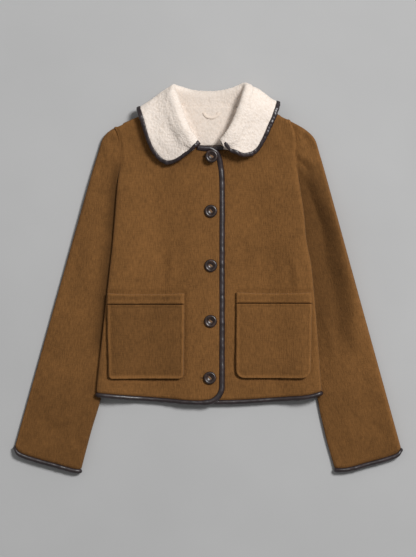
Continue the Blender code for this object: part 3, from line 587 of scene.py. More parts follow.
def lay_grain(bm, turn):
    """A UV map in metres across and along the nap, turned from the jacket's length by an angle."""
    layer = bm.loops.layers.uv.new("grain")
    cos, sin = math.cos(math.radians(turn)) * MM, math.sin(math.radians(turn)) * MM
    for face in bm.faces:
        for loop in face.loops:
            x, y, z = loop.vert.co
            side = z if abs(face.normal.z) < 0.5 else 0
            loop[layer].uv = ((x + side) * cos - y * sin, (x + side) * sin + y * cos)


def waves(points, size, seed, reach=1.0):
    """Smooth noise at points, from -1 to 1, its lumps about as wide as size and reach times as long."""
    spots = points / np.array([size, size * reach, size]) + seed
    return np.array([noise.noise(Vector(spot)) for spot in spots])


def creases(points, rows):
    """The height of the listed creases at points: soft ridges and troughs that fade at their ends."""
    height = np.zeros(len(points))
    for x0, y0, x1, y1, half_width, rise in rows:
        along = np.array([x1 - x0, y1 - y0], float)
        length = np.hypot(*along)
        along /= length
        out = points[:, :2] - (x0, y0)
        ahead = out @ along
        bow = 0.05 * length * np.sin(math.pi * np.clip(ahead / length, 0, 1))
        aside = out @ np.array([-along[1], along[0]]) - bow
        past = np.maximum(0, np.maximum(-ahead, ahead - length))
        swell = np.sin(math.pi * np.clip(ahead / length * 0.7 + 0.15, 0, 1))
        height += rise * fading(past, 1.4 * half_width) * swell * fading(aside, half_width)
    return height


def swells(points, rows):
    """Waves of several sizes: height, width of a lump, seed and how many times as long it is."""
    return sum(height * waves(points, size, seed, reach) for height, size, seed, reach in rows)


def fading(distance, reach):
    """1 at distance 0, fading softly over a reach."""
    return np.exp(-((distance / reach) ** 2))


def groove(distance, width, depth):
    """A soft seam line: a dip at distance 0."""
    return -depth * fading(distance, width)


def gathers(points, distance, form):
    """The dip along a seam at distance 0, and the small gathers of the cloth beside it."""
    least, more = form["height"]
    beat = points[:, 1] / form["spacing"] + 3 * waves(points, form["lump"], form["seed"])
    rise = least + more * (0.5 + 0.5 * np.sin(beat))
    return groove(distance, *form["dip"]) + rise * fading(distance - form["off"], form["reach"])


def side_gap(points):
    """How far points lie inside the body's nearer side, or outside it below 0."""
    x, y = points[:, 0], points[:, 1]
    return np.where(x < 0, x - side_right.x_at(y), side_left.x_at(y) - x)


# Shaders.


class Tone:
    """A shader socket that adds its Math node for each sign in an expression."""

    def __init__(self, dye, socket):
        self.dye, self.socket = dye, socket

    def maths(self, operation, *values, clamp=False):
        """A Math node on this socket's tree."""
        settings = {"operation": operation, "use_clamp": clamp}
        return self.dye.add("ShaderNodeMath", settings, dict(enumerate(values)))

    def __add__(self, other):
        return self.maths("ADD", self, other)

    def __sub__(self, other):
        return self.maths("SUBTRACT", self, other)

    def __rsub__(self, other):
        return self.maths("SUBTRACT", other, self)

    def __mul__(self, other):
        return self.maths("MULTIPLY", self, other)

    def __pow__(self, power):
        return self.maths("POWER", self, power)

    __radd__ = __add__
    __rmul__ = __mul__

    def sine(self):
        return self.maths("SINE", self)

    def within(self, low, high):
        """0 at low and 1 at high, held there outside them."""
        return self.maths("MULTIPLY_ADD", self, 1 / (high - low), -low / (high - low), clamp=True)


class Dye:
    """The nodes of one material."""

    def __init__(self, name):
        self.material = bpy.data.materials.new(name)
        self.material.use_nodes = True
        self.tree = self.material.node_tree
        self.shader = self.tree.nodes["Principled BSDF"]

    def add(self, kind, settings=None, values=None, output=0):
        """A node of a kind, its settings made first and its sockets then given values or links."""
        node = self.tree.nodes.new(kind)
        for name, value in (settings or {}).items():
            setattr(node, name, value)
        for key, value in (values or {}).items():
            self.feed(node.inputs[key], value)
        return Tone(self, node.outputs[output])

    def feed(self, socket, value):
        """Links a tone to a socket, or sets its value."""
        if isinstance(value, Tone):
            self.tree.links.new(value.socket, socket)
        else:
            socket.default_value = value

    def set(self, **values):
        """Gives the shader its sockets, named with _ for a space."""
        for name, value in values.items():
            self.feed(self.shader.inputs[name.replace("_", " ")], value)

    def place(self, scale=(1, 1, 1), uv=False):
        """Coordinates on the piece, in metres before the scale: its own UV map, or Object."""
        source = self.add("ShaderNodeTexCoord", output="UV" if uv else "Object")
        return self.add("ShaderNodeMapping", {"vector_type": "POINT"}, {"Vector": source, "Scale": scale})

    def noise(self, place, scale, detail=3.0, roughness=0.55, distortion=0.0):
        """Soft noise at a place, its lumps smaller at a larger scale."""
        values = {"Vector": place, "Scale": scale, "Detail": detail, "Roughness": roughness}
        return self.add("ShaderNodeTexNoise", None, {**values, "Distortion": distortion})

    def blend(self, factor, first, second):
        """A colour between two colours."""
        values = {0: factor, 6: first, 7: second}
        return self.add("ShaderNodeMix", {"data_type": "RGBA", "blend_type": "MIX"}, values, output=2)

    def bump(self, height, distance, strength=1.0):
        """Small relief on the whole material."""
        values = {"Height": height, "Distance": distance, "Strength": strength}
        self.set(Normal=self.add("ShaderNodeBump", None, values))


def shade(colour, factor):
    """A colour made darker or lighter."""
    return (*(min(1, part * factor) for part in colour[:3]), 1)


def corded_cloth(colour, wale):
    """Fine brushed cord: narrow ribs, a streaked nap, slow changes of tone, and painted highlights and
    painted shade.
    """
    dye = Dye("corded_cloth")
    cloth = dye.place(uv=True)
    solid = dye.place()
    streaks = dye.noise(dye.place((1.0, 0.16, 1.0), uv=True), 560, 3)
    nap = dye.noise(dye.place((1.0, 0.45, 1.0), uv=True), 110, 4, 0.65)
    weft = dye.noise(dye.place((0.16, 1.0, 1.0), uv=True), 520, 3)
    brushed = dye.noise(solid, 34, 4, 0.65, 0.8)
    slow = dye.noise(solid, 9, 2)
    speck = dye.noise(cloth, 560, 4, 0.75)
    across = dye.add("ShaderNodeSeparateXYZ", None, {"Vector": cloth})
    rib = (across * (2 * math.pi / wale)).sine() * 0.5 + 0.5
    tone = streaks * 0.22 + weft * 0.14 + nap * 0.2 + brushed * 0.26 + slow * 0.18
    worn = dye.blend(tone.within(0.38, 0.62), shade(colour, 0.76), shade(colour, 1.24))
    # Painted light read from the mesh: a painted highlight above 0, painted shade below 0.
    wear_and_painted_light = dye.add("ShaderNodeAttribute", {"attribute_name": "painted_light"}, output="Fac")
    threads = streaks.within(0.36, 0.64) * 0.34 + weft.within(0.36, 0.64) * 0.14
    ridges = threads + speck.within(0.3, 0.7) * 0.16 + rib * 0.1
    # A painted highlight where the attribute is above 0, flecked by the speck noise.
    fine = dye.blend(ridges * 0.8 - 0.14 + wear_and_painted_light * (speck * 0.4 + 0.2), worn, shade(colour, 1.9))
    # Painted shade where the attribute is below 0.
    painted_shade = dye.blend(wear_and_painted_light * -1.0, fine, shade(colour, 0.16))
    dye.set(
        Base_Color=painted_shade, Roughness=tone * 0.12 + 0.84, Specular_IOR_Level=0.12,
        Sheen_Weight=0.14, Sheen_Roughness=0.4, Sheen_Tint=(0.95, 0.66, 0.4, 1),
    )
    dye.bump(rib * 0.3 + streaks * 0.9 + weft * 0.45 + speck * 0.6 + nap * 0.9, 0.0012, 0.9)
    return dye.material


def curled_fleece(name, colour):
    """Curly pile: painted light by height, with lighter tips and painted shade in the hollows between the
    tufts, fine curls, and more painted shade inside the neck.
    """
    dye = Dye(name)
    solid = dye.place()
    tuft = dye.add("ShaderNodeAttribute", {"attribute_name": "tuft"}, output="Fac")
    curls = dye.noise(solid, 620, 3, 0.6, 1.4)
    clumps = dye.noise(solid, 190, 2, 0.5, 0.8)
    slow = dye.noise(solid, 22, 2)
    height = tuft * 0.62 + curls * 0.34 + clumps * 0.2
    # Painted shade in the hollows between the tufts, and a little painted highlight on their tips.
    hollow_shade = tuple(part * tint for part, tint in zip(colour[:3], (0.9, 0.865, 0.825)))
    pile = dye.blend(height.within(0.24, 0.74), (*hollow_shade, 1), shade(colour, 1.05))
    warmed = dye.blend(slow.within(0.35, 0.7) * 0.14, pile, (*hollow_shade, 1))
    # Painted shade on the fleece inside the neck, read from the mesh.
    neck_shade = dye.add("ShaderNodeAttribute", {"attribute_name": "painted_light"}, output="Fac")
    shaded_pile = dye.blend(neck_shade * 0.38, warmed, shade((*hollow_shade, 1), 0.66))
    dye.set(
        Base_Color=shaded_pile, Roughness=0.93, Specular_IOR_Level=0.1,
        Sheen_Weight=0.25, Sheen_Roughness=0.6, Sheen_Tint=(1.0, 0.96, 0.9, 1),
    )
    dye.bump(curls * 0.7 + clumps * 0.3, 0.0009, 0.6)
    return dye.material


def glossed_leather(colour):
    """Soft dark leather with a fine pebbled grain, rubbed lighter here and there."""
    dye = Dye("glossed_leather")
    solid = dye.place()
    grain = dye.add("ShaderNodeTexVoronoi", {"feature": "SMOOTH_F1"}, {"Vector": solid, "Scale": 900.0})
    wear_and_painted_light = dye.noise(solid, 75, 4, 0.6)
    fine = dye.noise(solid, 1500, 2)
    tone = dye.blend(wear_and_painted_light.within(0.38, 0.7), shade(colour, 0.75), shade(colour, 1.6))
    dye.set(
        Base_Color=tone, Roughness=wear_and_painted_light * 0.22 + 0.29, Specular_IOR_Level=0.58,
        Coat_Weight=0.05, Coat_Roughness=0.3,
    )
    dye.bump(grain * 0.5 + fine * 0.3, 0.0003, 0.5)
    return dye.material


def polished_horn(colour):
    """Dark horn with warm streaks under a polish."""
    dye = Dye("polished_horn")
    solid = dye.place()
    streaks = dye.noise(dye.place((1.0, 0.3, 1.0)), 240, 4, 0.6, 1.2)
    cloudy = dye.noise(solid, 120, 2)
    amber = dye.blend(streaks.within(0.5, 0.72), colour, shade(colour, 4.2))
    dye.set(
        Base_Color=amber, Roughness=cloudy * 0.12 + 0.28, Specular_IOR_Level=0.5,
        Coat_Weight=0.08, Coat_Roughness=0.2,
    )
    dye.bump(streaks, 0.0001, 0.2)
    return dye.material


def twisted_thread(name, colour):
    """Thread with a twist along it."""
    dye = Dye(name)
    solid = dye.place()
    strands = dye.noise(solid, 1400, 2)
    tone = dye.blend(strands.within(0.3, 0.7), shade(colour, 0.7), shade(colour, 1.25))
    dye.set(Base_Color=tone, Roughness=0.75, Specular_IOR_Level=0.25)
    dye.bump(strands, 0.0003, 0.6)
    return dye.material


def studio_floor(colour):
    """A plain pale floor."""
    dye = Dye("studio_floor")
    cloudy = dye.noise(dye.place(), 3.5, 3)
    dye.set(
        Base_Color=dye.blend(cloudy.within(0.3, 0.7), shade(colour, 0.97), shade(colour, 1.03)),
        Roughness=0.9, Specular_IOR_Level=0.1,
    )
    return dye.material


def stuff(name):
    """The finish with this name, made once from the colours of the panel."""
    colours = bpy.context.scene.jacket_colours
    sizes = bpy.context.scene.jacket_sizes
    makers = {
        "corded_cloth": lambda: corded_cloth((*colours.cloth, 1), sizes.wale),
        "curled_fleece": lambda: curled_fleece("curled_fleece", (*colours.fleece, 1)),
        "glossed_leather": lambda: glossed_leather((*colours.leather, 1)),
        "polished_horn": lambda: polished_horn((*colours.horn, 1)),
        "button_thread": lambda: twisted_thread("button_thread", (*colours.thread, 1)),
        "tonal_thread": lambda: twisted_thread("tonal_thread", shade(colours.cloth, 0.62)),
        "studio_floor": lambda: studio_floor((*colours.floor, 1)),
    }
    return bpy.data.materials.get(name) or makers[name]()


# The body.

ROW_SHARES = tuple(np.linspace(0.012, 0.985, 112))
CROWDED_Y = 214  # above this height a panel's columns crowd beside the armhole
CROWDED_INSIDE = (4.5, 17)
SPREADINGS = 6
CLOTH_GIVE = 3.4  # how far a dip may go into a wall of cloth
HEM_KNOTS = (13, 17, 21, 26, 30, 34)
SIDE_KNOTS = tuple(range(13, 89, 5))
OVERLAP_KNOTS = (38, 42, 46, 50, 53, 56, 59, 62, 65, 68, 71, 74, 77)

BINDING_ROLL = (
    (8.4, -0.03), (7.8, -0.2), (6.6, -0.36), (5.0, -0.46), (3.2, -0.44), (1.5, -0.26), (0.2, 0.05),
    (-0.2, 0.4), (-0.1, 0.7), (0.5, 0.92), (1.6, 1.0), (8.4, 1.0), (8.4, 0.88), (1.6, 0.8), (1.6, 0.2),
    (8.4, 0.11),
)
ROLLED = 11  # how many of its points lie on its outer side
EDGE_WIDENED, EDGE_OUT = 1.2, 0.6  # the right front's edge is bound wider than the hem

BODY_SWELLS = ((1.3, 70, 3.0, 1.7), (0.6, 27, 9.0, 1.6), (0.2, 10, 5.0, 1.4))
BODY_GATHERS = {
    "dip": (2.6, 1.6), "height": (0.7, 0.7), "off": 8, "reach": 4, "spacing": 3.1, "lump": 26, "seed": 2.0,
}
BODY_SEWN = (188, 212)  # the heights between which the side turns into the armhole
RIPPLE_HEIGHT, RIPPLE_SPACING = 0.4, 2.6
RIPPLE_ABOVE, RIPPLE_REACH = 10, 7  # the ripples' place above the hem
SHOULDER_SEAMS = (((-171, -71), (268, 311)), ((77, 149), (313, 281)))  # the x and y of their ends
SHOULDER_DIP = (2.2, 1.3)
SHOULDER_RAMP = (262, 276)
POCKET_DIP = (3.0, 2.2)
TOP_CORNER = 2  # the round of a pocket's upper corners

# Painted highlights along rims: how much lighter, how far from the edge or the seam and how wide.
POCKET_PAINTED_HIGHLIGHT = (0.9, 2, 2.2)
BAND_PAINTED_HIGHLIGHT = (0.3, 4, 2.5)
SIDE_PAINTED_HIGHLIGHT = (0.5, 2, 2.5)
SHOULDER_PAINTED_HIGHLIGHT = (0.5, 3, 2.5)

# Painted shade and painted shadow: how much darker, how far from the body and between which heights.
POCKET_PAINTED_SHADE = (0.16, 0.05)  # painted shade on the right and the left pocket
RIGHT_PAINTED_SHADOW, RIGHT_SHADOW_REACH, RIGHT_SHADOW_SPAN = 0.5, 15, ((-150, -110), (190, 225))
RIGHT_PAINTED_SHADE = 0.04
LEFT_PAINTED_SHADE, LEFT_SHADE_REACH, LEFT_SHADE_SPAN = 0.3, 89.2, ((-190, -60), (185, 225))
LEFT_SHADE_LEAN, LEFT_SHADE_SOFT = 0.06, 40
CUFF_PAINTED_SHADE, CUFF_SHADE_RAMP = 0.13, (-230, -150)
FOLD_PAINTED_HIGHLIGHT = (0.2, 0.5)  # painted highlight: how much lighter the right and the left sleeve's outer fold is


def back_top(share):
    """The back's upper edge: a shoulder, the neck and the other shoulder."""
    tips = side_right.share(1), side_left.share(1)
    x = tips[0][0] + (tips[1][0] - tips[0][0]) * share
    if x < BACK_NECK[0][0]:
        part = (x - tips[0][0]) / (BACK_NECK[0][0] - tips[0][0])
        return tips[0] + (np.array(BACK_NECK[0]) - tips[0]) * part
    if x > BACK_NECK[-1][0]:
        part = (x - BACK_NECK[-1][0]) / (tips[1][0] - BACK_NECK[-1][0])
        return np.array(BACK_NECK[-1]) + (tips[1] - np.array(BACK_NECK[-1])) * part
    return np.array([x, back_neck.y_at(x)])


def body_panels():
    """The two fronts and the back."""
    along = steps(ROW_SHARES, "bound", "fold", HEM_KNOTS)
    knots = HEM_KNOTS + OVERLAP_KNOTS
    across = steps(tuple(np.linspace(0.08, 0.92, 11)), "fold", "bound", SIDE_KNOTS, knots)
    front_right = Panel((side_right, front_right_edge), FRONT_PAIRS, across, along, right=True)
    across = steps(tuple(np.linspace(0.03, 0.97, 26)), "fold", "cut", SIDE_KNOTS, (6, 12))
    front_left = Panel((side_left, front_left_edge), FRONT_PAIRS, across, along)
    across = steps(tuple(np.linspace(0.03, 0.97, 28)), "fold", "fold", SIDE_KNOTS, SIDE_KNOTS)
    along = steps(ROW_SHARES[::2], "bound", "fold", HEM_KNOTS)
    back = Panel((side_right, side_left), EVEN_PAIRS, across, along, lower=True, top=back_top)
    return {"front_right": front_right, "front_left": front_left, "back": back}


def panel_mesh(panel):
    """A panel's wall, its points spread evenly where the armholes' curves draw them together."""

    def place(column, row, depth):
        return panel.at(panel.along[row], panel.across[column], depth)

    bm = wall_mesh(len(panel.across), len(panel.along), place)
    verts = list(bm.verts)
    inside = np.abs(side_gap(np.array([vert.co for vert in verts])))
    least, most = CROWDED_INSIDE
    crowded = [vert for vert, gap in zip(verts, inside) if vert.co.y > CROWDED_Y and least < gap < most]
    for _ in range(SPREADINGS):
        bmesh.ops.smooth_vert(bm, verts=crowded, factor=0.5, use_axis_x=True, use_axis_y=True)
    return bm


def body_relief(points, normals):
    """Creases, slow swells, small gathers and the dips along the seams of a front."""
    factor = bpy.context.scene.jacket_sizes.crease_factor
    height = creases(points, BODY_CREASES) + swells(points, BODY_SWELLS)
    height += smooth(points[:, 1], *BODY_SEWN) * gathers(points, np.abs(side_gap(points)), BODY_GATHERS)
    height += hem_ripple(points)
    shoulder = np.abs(points[:, 1] - shoulder_seam(points[:, 0]))
    height += groove(shoulder, *SHOULDER_DIP) * smooth(points[:, 1], *SHOULDER_RAMP)
    for size in POCKETS.values():
        height += groove(pocket_gap(size, points), *POCKET_DIP)
    return np.maximum(factor * height, -CLOTH_GIVE) * np.abs(normals[:, 2])


def hem_ripple(points):
    """The small ripples that the leather draws into a front just above its hem."""
    gap = points[:, 1] - hem.y_at(points[:, 0])
    beat = points[:, 0] / RIPPLE_SPACING + 2.4 * waves(points, 30, 1.0)
    ripple = np.sin(beat) + 0.8 * waves(points, 9, 6.0)
    return RIPPLE_HEIGHT * ripple * fading(gap - RIPPLE_ABOVE, RIPPLE_REACH)


def rim(distance, light, off, reach):
    """A painted highlight: a lighter line along an edge."""
    return light * fading(distance - off, reach)


def pocket_painted_light(points):
    """Painted highlights along the pockets' edges and bands, and painted shade over each pocket, more on the
    right.
    """
    gap = np.min([pocket_gap(size, points) for size in POCKETS.values()], axis=0)
    light, off, reach = BAND_PAINTED_HIGHLIGHT
    seam = np.min([np.abs(points[:, 1] - size["seam_y"] - off) for size in POCKETS.values()], axis=0)
    # Painted highlights along the pocket's edge and just above the band's seam.
    rims = rim(gap, *POCKET_PAINTED_HIGHLIGHT) + light * fading(seam, reach)
    # Painted shade over the whole pocket, deeper on the right one.
    return rims - np.where(points[:, 0] < 0, *POCKET_PAINTED_SHADE)


def body_painted_highlight(points):
    """Painted highlights along a front's sides and shoulders."""
    light, off, reach = SHOULDER_PAINTED_HIGHLIGHT
    shoulder = points[:, 1] - shoulder_seam(points[:, 0]) - off
    return rim(np.abs(side_gap(points)), *SIDE_PAINTED_HIGHLIGHT) + light * fading(shoulder, reach)


def sleeve_painted_light(points):
    """Painted highlights along the sleeves' outer folds, painted shadow and shade beside the body, and
    painted shade near the cuffs and, a little, all over the right sleeve.
    """
    x, y = points[:, 0], points[:, 1]
    beside = np.abs(side_gap(points))
    # Painted shadow of the body's edge on the right sleeve, and a little painted shade over all of it.
    right = -RIGHT_PAINTED_SHADOW * fading(beside, RIGHT_SHADOW_REACH) * between(y, *RIGHT_SHADOW_SPAN) - RIGHT_PAINTED_SHADE
    # Painted shade in a broad band beside the body on the left sleeve.
    reach = LEFT_SHADE_REACH + LEFT_SHADE_LEAN * y - beside
    left = -LEFT_PAINTED_SHADE * smooth(reach, 0, LEFT_SHADE_SOFT) * between(y, *LEFT_SHADE_SPAN)
    outer = np.where(x < 0, SLEEVES["right"][0].x_at(y), SLEEVES["left"][0].x_at(y))
    # Painted shade near the cuffs.
    cuff = -CUFF_PAINTED_SHADE * (1 - smooth(y, *CUFF_SHADE_RAMP))
    # A painted highlight along each sleeve's outer fold.
    light = np.where(x < 0, *FOLD_PAINTED_HIGHLIGHT) * fading(np.abs(x - outer) - 2, 3)
    return np.where(x < 0, right, left) + light + cuff


def between(value, start, end):
    """1 between two soft steps, 0 before the first and after the second."""
    return smooth(value, *start) * (1 - smooth(value, *end))


def pocket_gap(size, points):
    """How far points are from a pocket's outline."""
    middle_y = (size["band_y"] + size["foot_y"]) / 2
    half_y = (size["band_y"] - size["foot_y"]) / 2
    share = np.clip((points[:, 1] - size["foot_y"]) / (2 * half_y), 0, 1)
    low = size["foot"][0] + (size["top"][0] - size["foot"][0]) * share
    high = size["foot"][1] + (size["top"][1] - size["foot"][1]) * share
    corner = np.where(points[:, 1] < middle_y, size["corner"], TOP_CORNER)
    out_x = np.abs(points[:, 0] - (low + high) / 2) - (high - low) / 2 + corner
    out_y = np.abs(points[:, 1] - middle_y) - half_y + corner
    beyond = np.hypot(np.maximum(out_x, 0), np.maximum(out_y, 0))
    return np.abs(beyond + np.minimum(np.maximum(out_x, out_y), 0) - corner)


def shoulder_seam(x):
    """The line, a little in front of the fold, where the shoulders are sewn."""
    right, left = (np.interp(x, *ends) for ends in SHOULDER_SEAMS)
    return np.where(x < 0, right, left)


def hem_ring(panel, column, section):
    """The binding's section at one column of a panel's hem."""
    plain = Step(column.edge, column.share, math.degrees(column.angle), column.distance, knot=column.knot)
    ring = [(w, max(depth, 0.0) if panel.lower else depth) for w, depth in section]
    return [panel.at(Step("low", distance=w), plain, depth) for w, depth in ring]


def edge_ring(point, inward, section):
    """The binding's section at a point of the right front's free edge."""
    ring = []
    for w, depth in section:
        x, y = point + inward * (EDGE_WIDENED * w - EDGE_OUT)
        ring.append((x, y, front_level(x, y, True) - depth * WALL))
    return ring


def front_binding_rings(panel, section):
    """Along the hem from the side seam, round the corner, up the front edge and along the neck."""
    rings = []
    for column in panel.across:
        x = panel.at(Step("low", distance=1), column, 0)[0]
        if x < FRONT_EDGE_X - CORNER_RADIUS - 4:
            rings.append(hem_ring(panel, column, section))
    centre = np.array([FRONT_EDGE_X - CORNER_RADIUS, hem.y_at(FRONT_EDGE_X) + CORNER_RADIUS])
    for k in range(CORNER_STATIONS):
        turn = math.pi / 2 * (k / (CORNER_STATIONS - 1) - 1)
        out = np.array([math.cos(turn), math.sin(turn)])
        rings.append(edge_ring(centre + out * CORNER_RADIUS, -out, section))
    straight = np.linspace(CORNER_RADIUS + 20, NECK_START, EDGE_STATIONS)
    neckline = np.linspace(NECK_START + 3, NECK_BINDING_END + 5, NECK_STATIONS)
    for distance in np.concatenate([straight, neckline]):
        inward = front_inward(front_right_edge, distance, -FRONT_MIDDLE_X)
        rings.append(edge_ring(front_right_edge.at(distance), inward, section))
    return rings


def puckered(rings, depth, length, seed, loop=False, spacing=1.7):
    """The rings of a binding set closer, its outer side drawn into small uneven puckers."""
    rings = np.array(rings, float)
    if loop:
        rings = np.concatenate([rings, rings[:1]])
    middle = rings.mean(axis=1)
    marks = np.concatenate([[0], np.cumsum(np.linalg.norm(np.diff(middle, axis=0), axis=1))])
    count = int(marks[-1] / spacing)
    spots = np.linspace(0, marks[-1], count, endpoint=not loop)
    flat = rings.reshape(len(rings), -1)
    closer = np.array([np.interp(spots, marks, column) for column in flat.T]).T.reshape(count, -1, 3)
    core = closer[:, ROLLED + 1:].mean(axis=1)
    for number, mark in enumerate(spots):
        for k in range(ROLLED):
            point = closer[number, k]
            out = point - core[number]
            out = out / (np.linalg.norm(out) + 1e-6)
            lean = mark + 0.35 * k
            fold = noise.noise(Vector((lean / length, seed, k * 0.12)))
            small = noise.noise(Vector((lean / (0.45 * length), seed + 7, k * 0.3)))
            share = math.sin(math.pi * (k + 1) / (ROLLED + 1))
            closer[number, k] = point + out * depth * share * (1.7 * fold + 0.6 * small)
            closer[number, k, 2] = max(closer[number, k, 2], 0)
    return closer.tolist()


# Sleeves.

ARMHOLE_FOOT_Y = 199.5


def armhole_of(body_side):
    """The part of a body side that a sleeve is sewn to."""
    return Path(body_side.points[body_side.points[:, 1] > ARMHOLE_FOOT_Y], 1)


SLEEVES = {
    "right": (Path(SLEEVE_OUTER_RIGHT), Path(SLEEVE_INNER_RIGHT), Path(CUFF_RIGHT), armhole_of(side_right)),
    "left": (Path(SLEEVE_OUTER_LEFT), Path(SLEEVE_INNER_LEFT), Path(CUFF_LEFT), armhole_of(side_left)),
}
CAP_RAMP = (0.8, 1.0)  # the shares of a sleeve over which it bends to its armhole
SEAM_TUCK = 1.4  # how far a sleeve's edge goes under the body's along the armhole
SLEEVE_ACROSS = steps(tuple(np.linspace(0.04, 0.96, 24)), "fold", "fold")


def sleeve_point(side, row, column, depth, lower):
    """A point of a sleeve. row is a length from the cuff and a share of the rest to the armhole."""
    outer, inner, cuff, armhole = SLEEVES[side]
    length, share = row
    low = outer.at(length + share * (outer.length - length))
    high = inner.at(length + share * (inner.length - length))
    chord = high - low
    width = np.hypot(*chord)
    across = chord / width
    inset, rise = column.inset(depth, 1.0)
    if column.edge == "low":
        point = low + across * inset
    elif column.edge == "high":
        point = high - across * inset
    else:
        point = low + across * (FOLD_REACH + (width - 2 * FOLD_REACH) * column.share)
    place = np.clip((point - low) @ across / width, 0, 1)
    flat = outer.at(0) + (inner.at(0) - outer.at(0)) * place
    point = point + (cuff.share(place) - flat) * (1 - share) ** 4
    seam = armhole.share(1 - place)
    seam[0] += SEAM_TUCK if side == "right" else -SEAM_TUCK
    flat = outer.share(1) + (inner.share(1) - outer.share(1)) * place
    point = point + (seam - flat) * smooth(share, *CAP_RAMP)
    half = (STACK / 2 - depth * WALL) * rise
    return point[0], point[1], STACK / 2 + (-half if lower else half)


def sleeve_ring():
    """Each column of a sleeve's ring with whether it is in the lower layer, once round."""
    upper = [(column, False) for column in SLEEVE_ACROSS]
    lower = [(column, True) for column in SLEEVE_ACROSS[-2:0:-1]]
    return upper + lower


SLEEVE_SHARES = tuple(np.linspace(0.008, 1, 112))
SLEEVE_ROWS = [(distance, 0, pressed) for distance, pressed in BOUND_STEPS]
SLEEVE_ROWS += [(BOUND_STEPS[-1][0], share, 0) for share in SLEEVE_SHARES]


def sleeve_mesh(side):
    """A sleeve laid flat: one wall all the way round, open at both ends."""
    around = sleeve_ring()

    def place(column, row, depth):
        length, share, pressed = SLEEVE_ROWS[row]
        if pressed:
            depth = 0.5 + (depth - 0.5) * PRESSED
        step, lower = around[column % len(around)]
        return sleeve_point(side, (length, share), step, depth, lower)

    return wall_mesh(len(around) + 1, len(SLEEVE_ROWS), place, ring=True)


CUFF_LINE = sorted((x, y) for cuff in (CUFF_RIGHT, CUFF_LEFT) for x, y in cuff)
CUFF_CLEAR = (3, 34)  # how far from the cuffs the creases start and are full
SLEEVE_SWELLS = ((1.2, 60, 21.0, 1.9), (0.6, 24, 14.0, 1.7), (0.2, 10, 8.0, 1.4))
SLEEVE_GATHERS = {
    "dip": (2.8, 1.4), "height": (0.6, 0.8), "off": 9, "reach": 4, "spacing": 3.3, "lump": 24, "seed": 6.0,
}
SLEEVE_SEWN = (176, 206)  # the heights between which a sleeve's edge turns into the armhole
UNDER_SEAM_OFF, UNDER_SEAM_DIP = 9, (1.8, 0.8)  # the seam under the arm, beside the inner fold
UNDER_SEAM_RAMP = (-250, -150)
FULLNESS = (2.0, 62, 42)  # how much fuller a sleeve is, how far from its inner fold and how wide
# How a sleeve's upper layer tilts: its rise for each millimetre beyond a place, from the inner fold.
TILT_RIGHT, TILT_LEFT = (-0.055, 62), (0.07, 70)
TILT_RAMP = (150, 230)


def sleeve_relief(points, normals):
    """Creases and swells on a sleeve's upper side, its cap's gathers and the seam under the arm."""
    factor = bpy.context.scene.jacket_sizes.crease_factor
    x, y = points[:, 0], points[:, 1]
    sewn = smooth(y, *SLEEVE_SEWN)
    width = np.abs(x - np.where(x < 0, SLEEVES["right"][1].x_at(y), SLEEVES["left"][1].x_at(y)))
    height = creases(points, SLEEVE_CREASES) + swells(points, SLEEVE_SWELLS)
    height += sewn * gathers(points, -side_gap(points), SLEEVE_GATHERS)
    height += groove(width - UNDER_SEAM_OFF, *UNDER_SEAM_DIP) * (1 - smooth(y, *UNDER_SEAM_RAMP))
    full, place, reach = FULLNESS
    height += full * fading(width - place, reach) * (1 - sewn)
    right, left = (rise * (width - start) for rise, start in (TILT_RIGHT, TILT_LEFT))
    height += np.where(x < 0, right, left) * (1 - smooth(y, *TILT_RAMP))
    beyond_cuff = smooth(y - table(CUFF_LINE, x), *CUFF_CLEAR)
    upper = np.abs(normals[:, 2]) * (points[:, 2] > STACK / 2) * beyond_cuff
    return np.maximum(factor * height, -CLOTH_GIVE) * upper


def cuff_rings(side, section):
    """The binding's section at each column of a sleeve's ring."""
    rings = []
    for step, lower in sleeve_ring():
        ring = [(w, max(depth, 0.0) if lower else depth) for w, depth in section]
        rings.append([sleeve_point(side, (w, 0), step, depth, lower) for w, depth in ring])
    return rings


# The collar.

COLLAR_SEAT = 3.6
COLLAR_HALF = COLLAR_WALL / 2 + 1.0  # how far the wall's middle stays off the fronts
FRONT_TURN, BACK_TURN = 0.3, 0.95  # below the first the fall lies on a front, above the second beneath
KNEE_REACH = 9
SECTION_SAMPLES = 6
ROLL_START, ROLL_END = 2, 4  # the places in a section's line of the stand's end and the roll's end
STAND_SHARES = (0, 0.45, 0.8)
FALL_SHARES = (0.2, 0.45, 0.72, 1.0)
FALL_COLUMN, EDGE_COLUMN = 8, 10
SOFTENINGS = 2
COLLAR_ROWS = 40
ROW_SAMPLES = 12
COLLAR_CLEAR = 1.7
UNBOUND_LINES = 18  # the collar's end lines without leather


def collar_rows():
    """The collar's sections from one front end to the other, each with whether it is the right's."""
    return [row + (True,) for row in COLLAR_RIGHT] + [row + (False,) for row in COLLAR_LEFT[::-1]]


def collar_sections():
    """The middle of the collar's wall: one smooth line of points for each section, front to front."""
    return [Path(section_line(*row), SECTION_SAMPLES) for row in collar_rows()]


